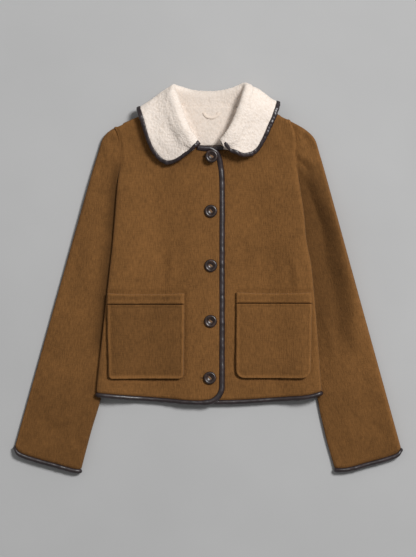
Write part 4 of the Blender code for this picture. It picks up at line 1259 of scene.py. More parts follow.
def section_line(seam, roll, edge, rise, turned, seated, right):
    """The points of one section: the stand from its seam, the roll and the fall out to its edge."""
    outward = np.array(seam) - np.array(NECK_CENTRE)
    outward = outward / np.hypot(*outward)
    back_seam_z = NECK_LIFT + COLLAR_WALL / 2
    seat_z = front_level(*seam, right) + COLLAR_SEAT
    foot = np.array([*seam, back_seam_z + (seat_z - back_seam_z) * seated])
    top = np.array([*roll, foot[2] + rise])
    stand = top - foot
    stand_dir = stand / np.linalg.norm(stand)
    over = np.array([*(outward * stand[2]), -(stand[:2] @ outward)])
    over = over / np.linalg.norm(over)
    crest = top + ROLL_RADIUS * (stand_dir + over)
    down = top + 2 * ROLL_RADIUS * over
    end = np.array([*edge, edge_height(edge, turned, right)])
    knee = down - stand_dir * min(KNEE_REACH, np.linalg.norm(end - down) * 0.3)
    line = [foot, foot + stand * 0.5, top, crest, down, knee]
    for share in (0.3, 0.6):
        spot = knee + (end - knee) * share
        if turned < FRONT_TURN:
            level = front_level(spot[0], spot[1], right) + COLLAR_HALF
            spot[2] = max(level, spot[2] * (1 - share) + end[2] * share)
        elif turned > BACK_TURN:
            spot[2] = COLLAR_WALL / 2
        line.append(spot)
    return line + [end]


def edge_height(edge, turned, right):
    """How high the middle of the fall's free edge lies: on a front, round a shoulder or under the back."""
    reach = STACK / 2 + COLLAR_HALF
    height = base_level(*edge) + STACK / 2 + reach * math.cos(math.pi * turned)
    height = max(height, COLLAR_WALL / 2)
    if turned < FRONT_TURN:
        height = max(height, front_level(*edge, right) + COLLAR_HALF)
    return height


def collar_grid():
    """Points in the middle of the collar's wall and the wall's direction there."""
    sections = collar_sections()
    count = len(sections)
    lines = []
    for section in sections:
        stand_end = section.marks[ROLL_START * SECTION_SAMPLES]
        roll_end = section.marks[ROLL_END * SECTION_SAMPLES]
        fall = section.length - roll_end - BOUND_STEPS[-1][0]
        found = [stand_end * share for share in STAND_SHARES]
        found += list(np.linspace(stand_end, roll_end, 5))
        found += [roll_end + fall * share for share in FALL_SHARES]
        found += [section.length - distance for distance, pressed in BOUND_STEPS[-2::-1]]
        lines.append([section.at(mark) for mark in found])
    lines = np.array(lines)
    rows = np.linspace(0, count - 1, COLLAR_ROWS)
    dense = np.array([Path(lines[:, j], ROW_SAMPLES).points for j in range(lines.shape[1])])
    picks = np.round(rows * ROW_SAMPLES).astype(int)
    middle = dense[:, picks].transpose(1, 0, 2)
    for _ in range(SOFTENINGS):
        soft = middle[:, :EDGE_COLUMN]
        soft[1:-1] += (soft[:-2] - 2 * soft[1:-1] + soft[2:]) / 4
    turned = np.interp(rows, range(count), [row[4] for row in collar_rows()])
    for _ in range(3):
        normal = grid_normals(middle)
        for row, turn in enumerate(turned):
            for column in range(FALL_COLUMN, middle.shape[1]):
                clear_body(middle[row, column], normal[row, column], turn)
    return middle, grid_normals(middle)


def grid_normals(middle):
    """The direction through the collar's wall at each of its points."""
    normal = np.cross(np.gradient(middle, axis=0), np.gradient(middle, axis=1))
    return normal / np.linalg.norm(normal, axis=2)[:, :, None]


def clear_body(point, normal, turned):
    """Moves a point of the fall up off the fronts, or down from the back, by what its wall needs."""
    faces = [point + normal * side * COLLAR_WALL / 2 for side in (-1, 1)]
    if turned < 0.35:
        low = min(faces, key=lambda face: face[2])
        point[2] += max(0, front_level(low[0], low[1], point[0] < 0) + COLLAR_CLEAR - low[2])
    elif turned > 0.65:
        high = max(faces, key=lambda face: face[2])
        point[2] -= max(0, high[2] - base_level(high[0], high[1]) + SEAM)
    lowest = point[2] - abs(normal[2]) * COLLAR_WALL / 2
    point[2] += max(0, 0.1 - lowest)


FINE_ROWS, FINE_COLUMNS = 13, 84
# Where the collar's free edge stands off the fronts: the end, how many lines from it, reach and rise.
COLLAR_LIFTS = (
    ("left", 26, 24, 12.0), ("left", 90, 50, 3.0), ("right", 28, 24, 4.0), ("right", 120, 60, 5.0),
)
DOME_SPAN, DOME_RISE, DOME_LEAN = (0.22, 0.98), 5.0, 0.55  # the fall's swell between its roll and its edge
DOME_START, DOME_STOP = (8, 40), (150, 190)  # by lines from the nearer front end
ROLL_SINK, ROLL_WAY, ROLL_WIDTH = 7.0, 0.17, 0.09  # how far the roll sinks, and where
LIFT_LEAN = 1.5
BULGE_RAMP = (0.3, 0.42)
FINE_SAMPLES = 8
PILE_BASE, PILE_LUMP, LUMP_SIZE = 0.45, 0.45, 13
PILE_SEED = 5  # without a seed the tufts' places would differ from run to run
EDGE_THIN = (6, 0.55, 0.07)  # how many columns thin out to the edge, the edge's share and what each adds
SLUMP_FROM, SLUMP = 44.0, 0.5  # the height above which the fleece gives way, and by what share
# Where the collar is fuller at its shoulders: the place (x, y), the push (x, y) and its reach.
COLLAR_BULGES = ((89, 341, 6.5, 10.5, 17), (-85, 339, -5.5, 10.5, 18))
# The collar's pointed front ends: the tip of the leather, and the way from there to the fleece.
COLLAR_TIPS = {
    "right": ((-13.0, 242.0, 41.0), (-0.62, 0.78, 0.0)),
    "left": ((23.6, 243.6, 38.0), (0.62, 0.78, 0.0)),
}
TIP_STATIONS = 18
TIP_ARCH = 7.0
SEAM_LINES = 24  # the collar's end lines without the roll along its seam
SEAM_RADIUS, SEAM_TURNS = 2.6, 14
SEAM_OUT, SEAM_UP = 0.9, 0.32  # the roll's middle: out from the seam, and up by a share of the wall
LEFT_NECK = ((9, 238.4), (29, 240.6))
LEFT_NECK_STATIONS, LEFT_NECK_SEAT = 14, 1.2
ROLL_SQUEEZE = ((0.1, 1.0), (0.24, 0.3), (0.42, 0.3), (0.55, 1.0))  # by share of the way to the edge


def fine_collar():
    """The middle of the collar's wall with closer rows and columns, and its normals."""
    middle, _ = collar_grid()
    lines = np.array([Path(middle[:, j], FINE_ROWS).points for j in range(middle.shape[1])])
    way = np.linspace(0, 1, FINE_COLUMNS)
    rows = [Path(line, FINE_SAMPLES) for line in lines.transpose(1, 0, 2)]
    grid = np.array([[row.share(share) for share in way] for row in rows])
    swell_fall(grid, way)
    push_shoulders(grid, way)
    lift_edge(grid, way)
    grid[:, :, 2] -= SLUMP * np.maximum(grid[:, :, 2] - SLUMP_FROM, 0)
    return grid, grid_normals(grid)


def swell_fall(grid, way):
    """Fills the fall between its roll and its edge and sinks the roll, away from the front ends."""
    count = len(grid)
    front = np.minimum(np.arange(count), count - 1 - np.arange(count))
    full = smooth(front, *DOME_START) * (1 - smooth(front, *DOME_STOP))
    fall = np.clip((way - DOME_SPAN[0]) / (DOME_SPAN[1] - DOME_SPAN[0]), 0, 1)
    rise = DOME_RISE * np.sin(math.pi * fall ** DOME_LEAN) - ROLL_SINK * fading(way - ROLL_WAY, ROLL_WIDTH)
    grid[:, :, 2] += full[:, None] * rise


def push_shoulders(grid, way):
    """Pushes the fall out where it is fuller over the shoulders."""
    for x, y, push_x, push_y, reach in COLLAR_BULGES:
        away = np.hypot(grid[:, :, 0] - x, grid[:, :, 1] - y)
        near = fading(away, reach) * smooth(way, *BULGE_RAMP)
        grid[:, :, 0] += push_x * near
        grid[:, :, 1] += push_y * near


def lift_edge(grid, way):
    """Lifts the fall where it stands off the fronts, more towards its edge."""
    count = len(grid)
    for end, peak, reach, rise in COLLAR_LIFTS:
        away = np.arange(count) if end == "right" else count - 1 - np.arange(count)
        grid[:, :, 2] += rise * fading(away - peak, reach)[:, None] * way ** LIFT_LEAN


def tufts(points, size, seed):
    """Height of curly pile at points, 0 in the hollows and 1 on the tips."""
    noise.seed_set(PILE_SEED)
    found = []
    for point in points:
        spot = Vector(point) / size + Vector((seed, 0, 0))
        spot += 0.45 * noise.noise_vector(spot * 0.8)
        near, _ = noise.voronoi(spot)
        curl = noise.noise(spot * 2.3)
        found.append(max(0.0, min(1.0, 1.12 - 1.15 * near[0] + 0.35 * curl)))
    return np.array(found)


def raise_pile(bm, seed, choose=None):
    """Lifts the outer points of a fleece piece into tufts, and keeps their height for the shader."""
    sizes = bpy.context.scene.jacket_sizes
    layer = bm.verts.layers.float.new("tuft")
    bm.normal_update()
    chosen = [vert for vert in bm.verts if choose is None or choose(vert)]
    points = np.array([vert.co for vert in chosen])
    height = tufts(points, sizes.tuft_size / MM, seed)
    clump = waves(points, LUMP_SIZE, seed + 4)
    for vert, tall, lump in zip(chosen, height, clump):
        vert[layer] = tall
        vert.co += vert.normal * (sizes.tuft_height / MM * (tall - PILE_BASE) + PILE_LUMP * lump)
        vert.co.z = max(vert.co.z, 0.0)


def collar_mesh():
    """The collar: its stand, roll and fall, thick with pile."""
    grid, normal = fine_collar()
    last = grid.shape[1] - 1
    thinned, least, more = EDGE_THIN

    def place(column, row, depth):
        side = 0.5 - depth
        full = table(ROLL_SQUEEZE, column / last) if side < 0 else 1.0
        if last - column < thinned:
            full = min(full, least + more * (last - column))
        return tuple(grid[row, column] + normal[row, column] * side * COLLAR_WALL * full)

    return wall_mesh(grid.shape[1], grid.shape[0], place)


def collar_binding_rings(section):
    """The binding's section round the fall's free edge, out to its pointed front ends."""
    middle, normal = fine_collar()
    frames = []
    for row in range(UNBOUND_LINES, middle.shape[0] - UNBOUND_LINES):
        inward = middle[row, -4] - middle[row, -1]
        inward = inward / np.linalg.norm(inward)
        frames.append((middle[row, -1] - inward * PRESSED_END, inward, normal[row, -1]))
    first = tip_frames("right", frames[0])
    last = tip_frames("left", frames[-1])
    rings = []
    for edge, inward, through in first + frames + last[::-1]:
        rings.append([edge + inward * w + through * COLLAR_WALL * (0.5 - depth) for w, depth in section])
    return rings


def tip_frames(side, joint):
    """Places from a front end's tip to the binding's first place, turned evenly from one to the other."""
    tip = [np.array(values, float) for values in COLLAR_TIPS[side]] + [np.array([0.0, 0.0, 1.0])]
    frames = []
    for share in np.linspace(0, 1, TIP_STATIONS)[:-1]:
        edge, inward, through = (a + (b - a) * share for a, b in zip(tip, joint))
        edge[2] += TIP_ARCH * math.sin(math.pi * share)
        inward = inward / np.linalg.norm(inward)
        through = through - inward * (through @ inward)
        frames.append((edge, inward, through / np.linalg.norm(through)))
    return frames


def neck_seam_rings():
    """A soft roll of fleece along the seam where the stand is sewn on."""
    middle, normal = fine_collar()
    turns = np.linspace(0, 2 * math.pi, SEAM_TURNS, endpoint=False)
    rings = []
    for row in range(SEAM_LINES, middle.shape[0] - SEAM_LINES):
        inward = middle[row, 2] - middle[row, 0]
        inward = inward / np.linalg.norm(inward)
        up = normal[row, 0]
        centre = middle[row, 0] - inward * SEAM_OUT + up * COLLAR_WALL * SEAM_UP
        rings.append([centre + SEAM_RADIUS * (math.cos(a) * inward + math.sin(a) * up) for a in turns])
    return rings


def left_neck_rings(section):
    """The binding's section along the stretch of the left front's neckline that shows."""
    start, end = np.array(LEFT_NECK)
    rings = []
    for share in np.linspace(0, 1, LEFT_NECK_STATIONS):
        x, y = start + (end - start) * share
        level = front_level(x, y, False) + LEFT_NECK_SEAT
        rings.append([(x, y - w, level - depth * WALL) for w, depth in section])
    return rings


# Inside the neck.

NECK_SPAN_Y = (243, 352)
NECK_LOW_X, NECK_HIGH_X = (-14, -66), (29, 64)  # the roll's inner line at both ends of that span
# How the painted shade inside the neck comes in from the roll's line and fades near the top.
NECK_SHADE_EDGE, NECK_SHADE_TOP = (-2, 7), (336, 346)


def neck_painted_shade(points):
    """Painted shade on the fleece inside the roll's line."""
    low = np.interp(points[:, 1], NECK_SPAN_Y, NECK_LOW_X)
    high = np.interp(points[:, 1], NECK_SPAN_Y, NECK_HIGH_X)
    inside = smooth(np.minimum(points[:, 0] - low, high - points[:, 0]), *NECK_SHADE_EDGE)
    return inside * (1 - smooth(points[:, 1], *NECK_SHADE_TOP))


LINING_Y = (240.5, 309.5)
LINING_WALL = 3.0
LINING_INSET = 1.5
LINING_GRID = (90, 40)
LOOP_CENTRE = (6, 300)
LOOP_REACH = (13, 9)
LOOP_STATIONS = 33
LOOP_SECTION = ((-2.5, 0), (2.5, 0), (2.9, 0.7), (2.5, 1.4), (0, 1.7), (-2.5, 1.4), (-2.9, 0.7))


def neck_x(edge, y):
    """Where a front's neckline stands at this height."""
    line = edge.points[edge.points[:, 1] > LINING_Y[0] - 8]
    return np.interp(y, line[:, 1], line[:, 0])


def lining_mesh():
    """The fleece of the back that shows inside the neck."""
    columns, rows = LINING_GRID

    def place(column, row, depth):
        y = LINING_Y[0] + (LINING_Y[1] - LINING_Y[0]) * row / (rows - 1)
        low = neck_x(front_right_edge, y) + LINING_INSET
        high = neck_x(front_left_edge, y) - LINING_INSET
        x = low + (high - low) * column / (columns - 1)
        return x, y, base_level(x, y) + WALL + SEAM + LINING_WALL * (1 - depth)

    return wall_mesh(columns, rows, place)


def loop_rings():
    """A short tape, sewn down at both ends inside the neck."""
    rings = []
    for turn in np.linspace(0, math.pi, LOOP_STATIONS):
        out = -math.cos(turn), -math.sin(turn)
        x, y = (LOOP_CENTRE[k] + LOOP_REACH[k] * out[k] for k in (0, 1))
        z = base_level(x, y) + WALL + LINING_WALL + 2 * SEAM
        rings.append([(x + out[0] * w, y + out[1] * w, z + h) for w, h in LOOP_SECTION])
    return rings


# Pockets.


def spread(wide, rim, count):
    """Distances across a width: the rim's at both ends and a count of even ones between them."""
    middle = np.linspace(rim[-1], wide - rim[-1], count + 2)[1:-1]
    return list(rim) + list(middle) + [wide - distance for distance in rim[::-1]]


def pocket_face(side, x, y, lift):
    """A point above a front, following its folded edge."""
    right = side == "right"
    inside = (x - side_right.x_at(y)) if right else (side_left.x_at(y) - x)
    edge = min(inside, FOLD_REACH) / FOLD_REACH
    drop = STACK / 2 * (1 - math.sqrt(max(0.0, 1 - (1 - edge) ** 2)))
    return front_level(x, y, right) - drop + POCKET_SEAT + lift


# How full a pocket is at a distance from its edge, and a band along and across it.
PUFF = (
    (0.0, 0.2), (0.5, 0.55), (1.2, 0.84), (2.2, 1.0), (3.4, 1.07), (4.6, 1.06), (6.0, 0.98), (7.4, 0.94),
    (9.0, 0.98), (11.0, 1.05), (13.5, 1.11), (17.0, 1.16),
)
POCKET_SHARES = tuple(np.linspace(0.03, 0.9, 34)) + (0.92, 0.94, 0.955, 0.97, 0.98, 0.99, 1.0)
POCKET_COLUMNS = 32
POCKET_SWELLS = ((0.9, 38, 31.0, 0.8), (0.4, 15, 27.0, 1.0), (0.15, 7, 2.0, 1.0))
WAVER, WAVER_SIZE = 0.8, 26  # how unevenly a pocket's sides are sewn on
BAND_WALL = 5.75
BAND_RIM = ((0.0, 0.25), (0.6, 0.55), (1.6, 0.8), (2.8, 0.95), (4.2, 1.0))
BAND_ROWS = (
    (0, 0.25), (0.04, 0.55), (0.1, 0.85), (0.18, 1.08), (0.28, 1.22), (0.4, 1.28), (0.52, 1.26),
    (0.64, 1.22), (0.74, 1.24), (0.84, 1.3), (0.91, 1.22), (0.96, 0.85), (1, 0.3),
)
BAND_COLUMNS = 44
BAND_SAG = 2.4
POCKET_CORNER_TURNS = tuple(range(0, 91, 9))


def pocket_mesh(side):
    """A patch with round lower corners, full at its middle and rolled at its edges."""
    size = POCKETS[side]
    corner = size["corner"]
    turns = [math.radians(a) for a in POCKET_CORNER_TURNS]
    heights = [corner * (1 - math.cos(a)) for a in turns]
    insets = [corner * (1 - math.sin(a)) for a in turns]
    tall = size["seam_y"] - SEAM - size["foot_y"]
    heights += [corner + (tall - corner) * share for share in POCKET_SHARES]
    insets += [0] * len(POCKET_SHARES)
    rim = [distance for distance, full in PUFF]

    def place(column, row, depth):
        height, inset = heights[row], insets[row]
        share = height / tall
        low = size["foot"][0] + (size["top"][0] - size["foot"][0]) * share + inset
        high = size["foot"][1] + (size["top"][1] - size["foot"][1]) * share - inset
        low += WAVER * noise.noise(Vector((height / WAVER_SIZE, low, 3.0)))
        high += WAVER * noise.noise(Vector((height / WAVER_SIZE, high, 5.0)))
        wide = high - low
        place_x = spread(wide, rim, POCKET_COLUMNS)[column]
        x, y = low + place_x, size["foot_y"] + height
        near_side = min(place_x, wide - place_x) + 0.6 * inset
        near = min(near_side, height + 0.5 * inset, tall - height + 2)
        return x, y, pocket_face(side, x, y, POCKET_WALL * table(PUFF, near) * (1 - depth))

    return wall_mesh(2 * len(rim) + POCKET_COLUMNS, len(heights), place)


def band_mesh(side):
    """The pocket's turned-over upper edge, a soft roll that sags at its middle."""
    size = POCKETS[side]
    tall = size["band_y"] - size["seam_y"]
    wide = size["top"][1] - size["top"][0]
    rim = [distance for distance, full in BAND_RIM]
    places = spread(wide, rim, BAND_COLUMNS)

    def place(column, row, depth):
        share, full = BAND_ROWS[row]
        place_x = places[column]
        sag = BAND_SAG * math.sin(math.pi * place_x / wide)
        full = min(full, table(BAND_RIM, min(place_x, wide - place_x)))
        x, y = size["top"][0] + place_x, size["seam_y"] + (tall - sag) * share
        return x, y, pocket_face(side, x, y, BAND_WALL * full * (1 - depth))

    return wall_mesh(len(places), len(BAND_ROWS), place)


def pocket_relief(points, normals):
    """Slow swells over a pocket."""
    factor = bpy.context.scene.jacket_sizes.crease_factor
    return factor * swells(points, POCKET_SWELLS) * np.clip(normals[:, 2], 0, 1)


# Buttons.

BUTTON_PROFILE = (
    (0.01, 1.5), (2.2, 1.5), (3.8, 1.75), (5.0, 2.35), (6.1, 3.3), (7.1, 4.2), (8.2, 4.75), (9.3, 4.8),
    (10.3, 4.4), (11.1, 3.7), (11.6, 2.9), (11.7, 2.2), (11.4, 1.4), (10.6, 0.6), (9.0, 0.0), (0.01, 0.0),
)
BUTTON_TURNS = 56
BUTTON_HOLE_X = 2.7
EYE_SHARE = 0.62  # the sunk middle's width against its length, as on a fish-eye button
EYE_REACH, EYE_START = 7.1, 0.45
EYE_TURN, EYE_SWING = -38, 9  # in degrees: how the eyes lie, and how far the buttons differ
LIFTED = 1.2  # above this height a button's points lie on its face
STRANDS, STRAND_GAP, STRAND_RADIUS = 4, 0.78, 0.5
HOLE_LENGTH, HOLE_WIDTH, HOLE_SHIFT = 29.0, 2.2, 2.0
HOLE_STATIONS, STITCHES = 72, 36
STITCH_THICK, STITCH_WAVE, STITCH_SEAT = 0.55, 0.1, 0.05


def button_level(x, y):
    """The highest cloth or binding under a button."""
    turns = [math.pi * k / 6 for k in range(12)]
    spots = [(x + BUTTON_RADIUS * math.cos(turn), y + BUTTON_RADIUS * math.sin(turn)) for turn in turns]
    over_binding = y > BUTTONS[0][1] - 1
    return max(front_level(*spot, True) for spot in spots) + (BINDING_PROUD if over_binding else 0)


def turned_button(x, y, z, turn):
    """A turned button with a rolled rim and an eye-shaped hollow, its two holes left uncut."""
    bm = bmesh.new()
    verts = [bm.verts.new((r, 0, h)) for r, h in BUTTON_PROFILE]
    edges = [bm.edges.new(pair) for pair in zip(verts, verts[1:])]
    bmesh.ops.spin(
        bm, geom=verts + edges, cent=(0, 0, 0), axis=(0, 0, 1), angle=2 * math.pi, steps=BUTTON_TURNS,
        use_merge=True,
    )
    bmesh.ops.remove_doubles(bm, verts=bm.verts, dist=0.02)
    for vert in bm.verts:
        reach = math.hypot(vert.co.x, vert.co.y)
        if vert.co.z > LIFTED and reach < EYE_REACH:
            open_share = float(smooth(reach, EYE_START * EYE_REACH, EYE_REACH))
            vert.co.y *= EYE_SHARE + (1 - EYE_SHARE) * open_share
    bmesh.ops.rotate(bm, matrix=rotation(turn), verts=bm.verts)
    bmesh.ops.translate(bm, vec=(x, y, z), verts=bm.verts)
    return bm


def rotation(degrees):
    """A turn about the upright axis."""
    return Matrix.Rotation(math.radians(degrees), 3, "Z")


def thread_bar(x, y, z, turn):
    """Thread through a button's two holes: strands side by side."""
    bm = bmesh.new()
    for k in range(STRANDS):
        made = bmesh.ops.create_cone(
            bm, cap_ends=True, segments=8, radius1=STRAND_RADIUS, radius2=STRAND_RADIUS,
            depth=2 * BUTTON_HOLE_X + 1.5,
        )
        aside = k - (STRANDS - 1) / 2
        bmesh.ops.rotate(bm, matrix=flat_turn(), verts=made["verts"])
        bmesh.ops.translate(bm, vec=(0, aside * STRAND_GAP, 2.0 - 0.12 * abs(aside)), verts=made["verts"])
    bmesh.ops.rotate(bm, matrix=rotation(turn), verts=bm.verts)
    bmesh.ops.translate(bm, vec=(x, y, z), verts=bm.verts)
    return bm


def flat_turn():
    """Lays an upright rod along X."""
    return Matrix.Rotation(math.radians(90), 3, "Y")


def buttonhole_rings(x, y):
    """A sewn slot, as a closed loop of satin stitches lying on the cloth."""
    circle = [(math.cos(a), math.sin(a)) for a in np.linspace(0, 2 * math.pi, 6, endpoint=False)]
    rings = []
    for turn in np.linspace(0, 2 * math.pi, HOLE_STATIONS, endpoint=False):
        cos, sin = math.cos(turn), math.sin(turn)
        px, py = x - HOLE_SHIFT + HOLE_LENGTH / 2 * cos, y + HOLE_WIDTH / 2 * sin
        out = np.array([cos * HOLE_WIDTH, sin * HOLE_LENGTH])
        level = front_level(px, py, True) - STITCH_SEAT
        thick = STITCH_THICK + STITCH_WAVE * math.sin(STITCHES * turn)
        aside = out / np.hypot(*out) * thick
        rings.append([
            (px + aside[0] * wide, py + aside[1] * wide, level + thick * up) for wide, up in circle
        ])
    return rings


# Sizes and colours of the panel.


class JacketSizes(bpy.types.PropertyGroup):
    """The sizes a user would change."""

    crease_factor: bpy.props.FloatProperty(
        name="Creases", description="How deep the creases and swells of the cloth are",
        default=1.1, min=0, max=2,
    )
    wale: bpy.props.FloatProperty(
        name="Cord pitch", description="Distance between two ribs of the cord",
        default=0.0016, unit="LENGTH",
    )
    tuft_size: bpy.props.FloatProperty(
        name="Tuft size", description="Width of a tuft of the fleece",
        default=0.0034, unit="LENGTH",
    )
    tuft_height: bpy.props.FloatProperty(
        name="Tuft height", description="Height of a tuft of the fleece",
        default=0.0010, unit="LENGTH",
    )
    pucker_depth: bpy.props.FloatProperty(
        name="Pucker depth", description="Depth of the puckers in the collar's leather",
        default=0.0009, unit="LENGTH",
    )
    pucker_length: bpy.props.FloatProperty(
        name="Pucker length", description="Length of a pucker along the leather",
        default=0.0050, unit="LENGTH",
    )


class JacketColours(bpy.types.PropertyGroup):
    """The colours a user would change."""

    cloth: bpy.props.FloatVectorProperty(
        name="Cloth", description="Colour of the corded cloth",
        subtype="COLOR", default=(0.156, 0.071, 0.0215),
    )
    fleece: bpy.props.FloatVectorProperty(
        name="Fleece", description="Colour of the fleece",
        subtype="COLOR", default=(0.82, 0.73, 0.655),
    )
    leather: bpy.props.FloatVectorProperty(
        name="Leather", description="Colour of the bound edges",
        subtype="COLOR", default=(0.018, 0.0105, 0.0115),
    )
    horn: bpy.props.FloatVectorProperty(
        name="Buttons", description="Colour of the buttons",
        subtype="COLOR", default=(0.017, 0.009, 0.007),
    )
    thread: bpy.props.FloatVectorProperty(
        name="Thread", description="Colour of the buttons' thread",
        subtype="COLOR", default=(0.21, 0.12, 0.065),
    )
    floor: bpy.props.FloatVectorProperty(
        name="Floor", description="Colour of the floor",
        subtype="COLOR", default=(0.43, 0.43, 0.43),
    )


# Operators.

# How deep a binding is puckered, how long its puckers are beside the collar's, and a seed.
HEM_PUCKERS = (0.28, 2.2, 5.0)
FRONT_PUCKERS = (0.34, 1.8, 2.0)
CUFF_PUCKERS = (0.34, 1.8, 9.0)
LEFT_NECK_PUCKERS = (0.3, 6.0, 4.0)  # this length in millimetres
SLEEVE_GRAIN = {"right": 11, "left": -14}


def bind(name, node, rings, puckers, loop=False):
    """A strip of leather whose puckers follow the collar's in length."""
    depth, longer, seed = puckers
    length = bpy.context.scene.jacket_sizes.pucker_length / MM
    bm = tube_mesh(puckered(rings, depth, longer * length, seed, loop=loop), loop=loop)
    return finish(name, bm, node, [stuff("glossed_leather")])


def fleece_piece(name, bm, node, seed, sides, choose=None):
    """A piece of fleece with its pile raised, on one side or on both."""
    bmesh.ops.recalc_face_normals(bm, faces=bm.faces)
    raise_pile(bm, seed, choose)
    return finish(name, bm, node, [stuff("curled_fleece")] * sides, painted_light=neck_painted_shade)


class JACKET_OT_body(bpy.types.Operator):
    """Makes the back and the two fronts with their bound hems"""

    bl_idname = "jacket.body"
    bl_label = "Body"

    def execute(self, context):
        cloth = [stuff("corded_cloth"), stuff("curled_fleece")]
        panels = body_panels()
        for name, node in (("front_left", "hem_binding_left"), ("back", "hem_binding_back")):
            rings = [hem_ring(panels[name], column, BINDING_ROLL) for column in panels[name].across]
            bind("leather_" + node, node, rings, HEM_PUCKERS)
        rings = front_binding_rings(panels["front_right"], BINDING_ROLL)
        bind("leather_front", "front_binding_right", rings, FRONT_PUCKERS)
        for name, panel in panels.items():
            relief = None if name == "back" else body_relief
            bm = panel_mesh(panel)
            finish("cloth_" + name, bm, name, cloth, relief, painted_light=body_painted_highlight)
        return {"FINISHED"}


class JACKET_OT_sleeves(bpy.types.Operator):
    """Makes both sleeves with their bound cuffs"""

    bl_idname = "jacket.sleeves"
    bl_label = "Sleeves"

    def execute(self, context):
        cloth = [stuff("corded_cloth"), stuff("curled_fleece")]
        for side, turn in SLEEVE_GRAIN.items():
            name = "sleeve_" + side
            piece = finish(
                "cloth_" + name, sleeve_mesh(side), name, cloth, sleeve_relief,
                grain=turn, painted_light=sleeve_painted_light,
            )
            rings = cuff_rings(side, BINDING_ROLL)
            bound = bind("leather_cuff_" + side, "cuff_binding_" + side, rings, CUFF_PUCKERS, loop=True)
        return {"FINISHED"}


class JACKET_OT_pockets(bpy.types.Operator):
    """Makes the patch pockets and their rolled bands"""

    bl_idname = "jacket.pockets"
    bl_label = "Pockets"

    def execute(self, context):
        cloth = [stuff("corded_cloth"), stuff("curled_fleece")]
        for side in ("right", "left"):
            for cut, make, node in (("pocket", pocket_mesh, "pocket_"), ("band", band_mesh, "pocket_band_")):
                name = f"cloth_{cut}_{side}"
                piece = finish(name, make(side), node + side, cloth, pocket_relief, painted_light=pocket_painted_light)
        return {"FINISHED"}


class JACKET_OT_collar(bpy.types.Operator):
    """Makes the fleece collar and its puckered leather edge"""

    bl_idname = "jacket.collar"
    bl_label = "Collar"

    def execute(self, context):
        sizes = context.scene.jacket_sizes
        collar = fleece_piece("fleece_collar", collar_mesh(), "collar", 3.0, 2)
        section = [(w, max(depth, -0.3)) for w, depth in BINDING_ROLL]
        rings = collar_binding_rings(section)
        bm = tube_mesh(puckered(rings, sizes.pucker_depth / MM, sizes.pucker_length / MM, 1.0))
        bound = finish("leather_collar", bm, "collar_binding", [stuff("glossed_leather")])
        return {"FINISHED"}


class JACKET_OT_neck(bpy.types.Operator):
    """Makes the fleece inside the neck and the loop sewn to it"""

    bl_idname = "jacket.neck"
    bl_label = "Neck"

    def execute(self, context):
        lining = fleece_piece(
            "fleece_lining", lining_mesh(), "back_lining", 17.0, 2, lambda vert: vert.normal.z > 0.4
        )
        fleece_piece("fleece_seam", tube_mesh(neck_seam_rings()), None, 29.0, 1)
        strip = tube_mesh(puckered(left_neck_rings(BINDING_ROLL), *LEFT_NECK_PUCKERS))
        finish("leather_left_neck", strip, None, [stuff("glossed_leather")])
        fleece = [stuff("curled_fleece")]
        loop = finish("tape_loop", tube_mesh(loop_rings()), "hanger_loop", fleece)
        return {"FINISHED"}


class JACKET_OT_buttons(bpy.types.Operator):
    """Makes the buttons, their thread and their sewn buttonholes"""

    bl_idname = "jacket.buttons"
    bl_label = "Buttons"

    def execute(self, context):
        for number, (x, y) in enumerate(BUTTONS, 1):
            add_button(number, x, y)
        return {"FINISHED"}


def add_button(number, x, y):
    """One button with its thread and its buttonhole."""
    z = button_level(x, y) + SEAM
    turn = EYE_TURN + EYE_SWING * math.sin(2.3 * number)
    horn, thread, stitches = stuff("polished_horn"), stuff("button_thread"), stuff("tonal_thread")
    bm = turned_button(x, y, z, turn)
    finish(f"horn_button_{number}", bm, f"button_{number}", [horn], sharp=60)
    finish(f"thread_button_{number}", thread_bar(x, y, z, turn), None, [thread])
    bm = tube_mesh(buttonhole_rings(x, y), loop=True)
    finish(f"buttonhole_{number}", bm, None, [stitches])


class JACKET_OT_stage(bpy.types.Operator):
    """Makes the floor, the lights and the camera"""

    bl_idname = "jacket.stage"
    bl_label = "Stage"

    def execute(self, context):
        add_floor()
        light_room()
        add_light("key", KEY_PLACE, KEY_SIZE, KEY_POWER)
        add_light("fill", FILL_PLACE, FILL_SIZE, FILL_POWER)
        add_camera()
        context.scene.view_settings.view_transform = "Standard"
        return {"FINISHED"}


KEY_SIZE, KEY_POWER = 1.4, 322
FILL_PLACE, FILL_SIZE, FILL_POWER = (-1.6, 1.2, 2.4), 2.2, 7
ROOM_LIGHT = 0.23
FLOOR_REACH, FLOOR_DROP = 4.0, 0.0004
SENSOR_HEIGHT = 24
CAMERA_Y, CLOTH_LEVEL = -0.0014, 0.013
CAMERA_SIGHT = 20


def add_floor():
    """A plain floor just under the jacket."""
    bm = bmesh.new()
    bmesh.ops.create_grid(bm, x_segments=1, y_segments=1, size=FLOOR_REACH)
    bmesh.ops.translate(bm, vec=(0, 0, -FLOOR_DROP), verts=bm.verts)
    mesh = bpy.data.meshes.new("studio_floor")
    bm.to_mesh(mesh)
    bm.free()
    mesh.materials.append(stuff("studio_floor"))
    floor = bpy.data.objects.new("studio_floor", mesh)
    bpy.context.scene.collection.objects.link(floor)


def light_room():
    """An even white light from all round."""
    world = bpy.data.worlds.new("studio")
    world.use_nodes = True
    room = world.node_tree.nodes["Background"].inputs
    room["Color"].default_value = (1, 1, 1, 1)
    room["Strength"].default_value = ROOM_LIGHT
    bpy.context.scene.world = world


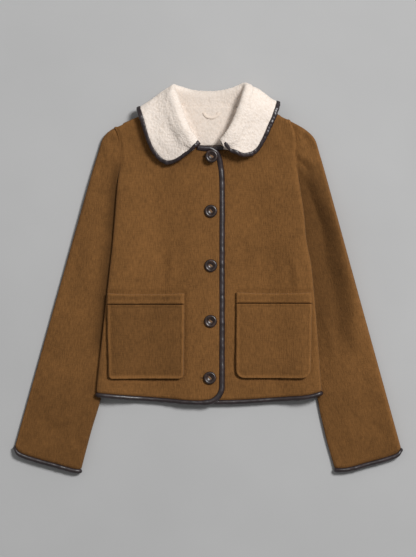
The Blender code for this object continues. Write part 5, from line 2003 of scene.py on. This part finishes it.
def add_camera():
    """A camera straight above that sees the photo's field at the cloth's level."""
    lens = bpy.data.cameras.new("camera")
    lens.sensor_fit = "VERTICAL"
    lens.sensor_height = SENSOR_HEIGHT
    lens.lens = SENSOR_HEIGHT * CAMERA_HEIGHT / FIELD[1]
    lens.clip_end = CAMERA_SIGHT
    camera = bpy.data.objects.new("camera", lens)
    camera.location = (0, CAMERA_Y, CAMERA_HEIGHT + CLOTH_LEVEL)
    bpy.context.scene.collection.objects.link(camera)
    bpy.context.scene.camera = camera


def add_light(name, place, size, power):
    """A square soft light that looks at the jacket's middle."""
    light = bpy.data.lights.new(name, "AREA")
    light.size = size
    light.energy = power
    holder = bpy.data.objects.new(name, light)
    holder.location = place
    holder.rotation_euler = Vector(place).to_track_quat("Z", "Y").to_euler()
    bpy.context.scene.collection.objects.link(holder)


class VIEW3D_PT_jacket(bpy.types.Panel):
    """Lists the jacket's sizes, colours and pieces"""

    bl_label = "Jacket"
    bl_space_type = "VIEW_3D"
    bl_region_type = "UI"
    bl_category = "Jacket"

    def draw(self, context):
        for group in (context.scene.jacket_sizes, context.scene.jacket_colours):
            for name in group.__annotations__:
                self.layout.prop(group, name)
        for operator in OPERATORS:
            self.layout.operator(operator.bl_idname)


OPERATORS = (
    JACKET_OT_body, JACKET_OT_sleeves, JACKET_OT_pockets, JACKET_OT_collar, JACKET_OT_neck,
    JACKET_OT_buttons, JACKET_OT_stage,
)
CLASSES = (JacketSizes, JacketColours) + OPERATORS + (VIEW3D_PT_jacket,)


def register():
    for item in CLASSES:
        bpy.utils.register_class(item)
    bpy.types.Scene.jacket_sizes = bpy.props.PointerProperty(type=JacketSizes)
    bpy.types.Scene.jacket_colours = bpy.props.PointerProperty(type=JacketColours)


def unregister():
    del bpy.types.Scene.jacket_colours
    del bpy.types.Scene.jacket_sizes
    for item in reversed(CLASSES):
        bpy.utils.unregister_class(item)


def main():
    """Makes the whole jacket and its stage."""
    register()
    bpy.ops.jacket.body()
    bpy.ops.jacket.sleeves()
    bpy.ops.jacket.pockets()
    bpy.ops.jacket.collar()
    bpy.ops.jacket.neck()
    bpy.ops.jacket.buttons()
    bpy.ops.jacket.stage()


if __name__ == "__main__":
    main()
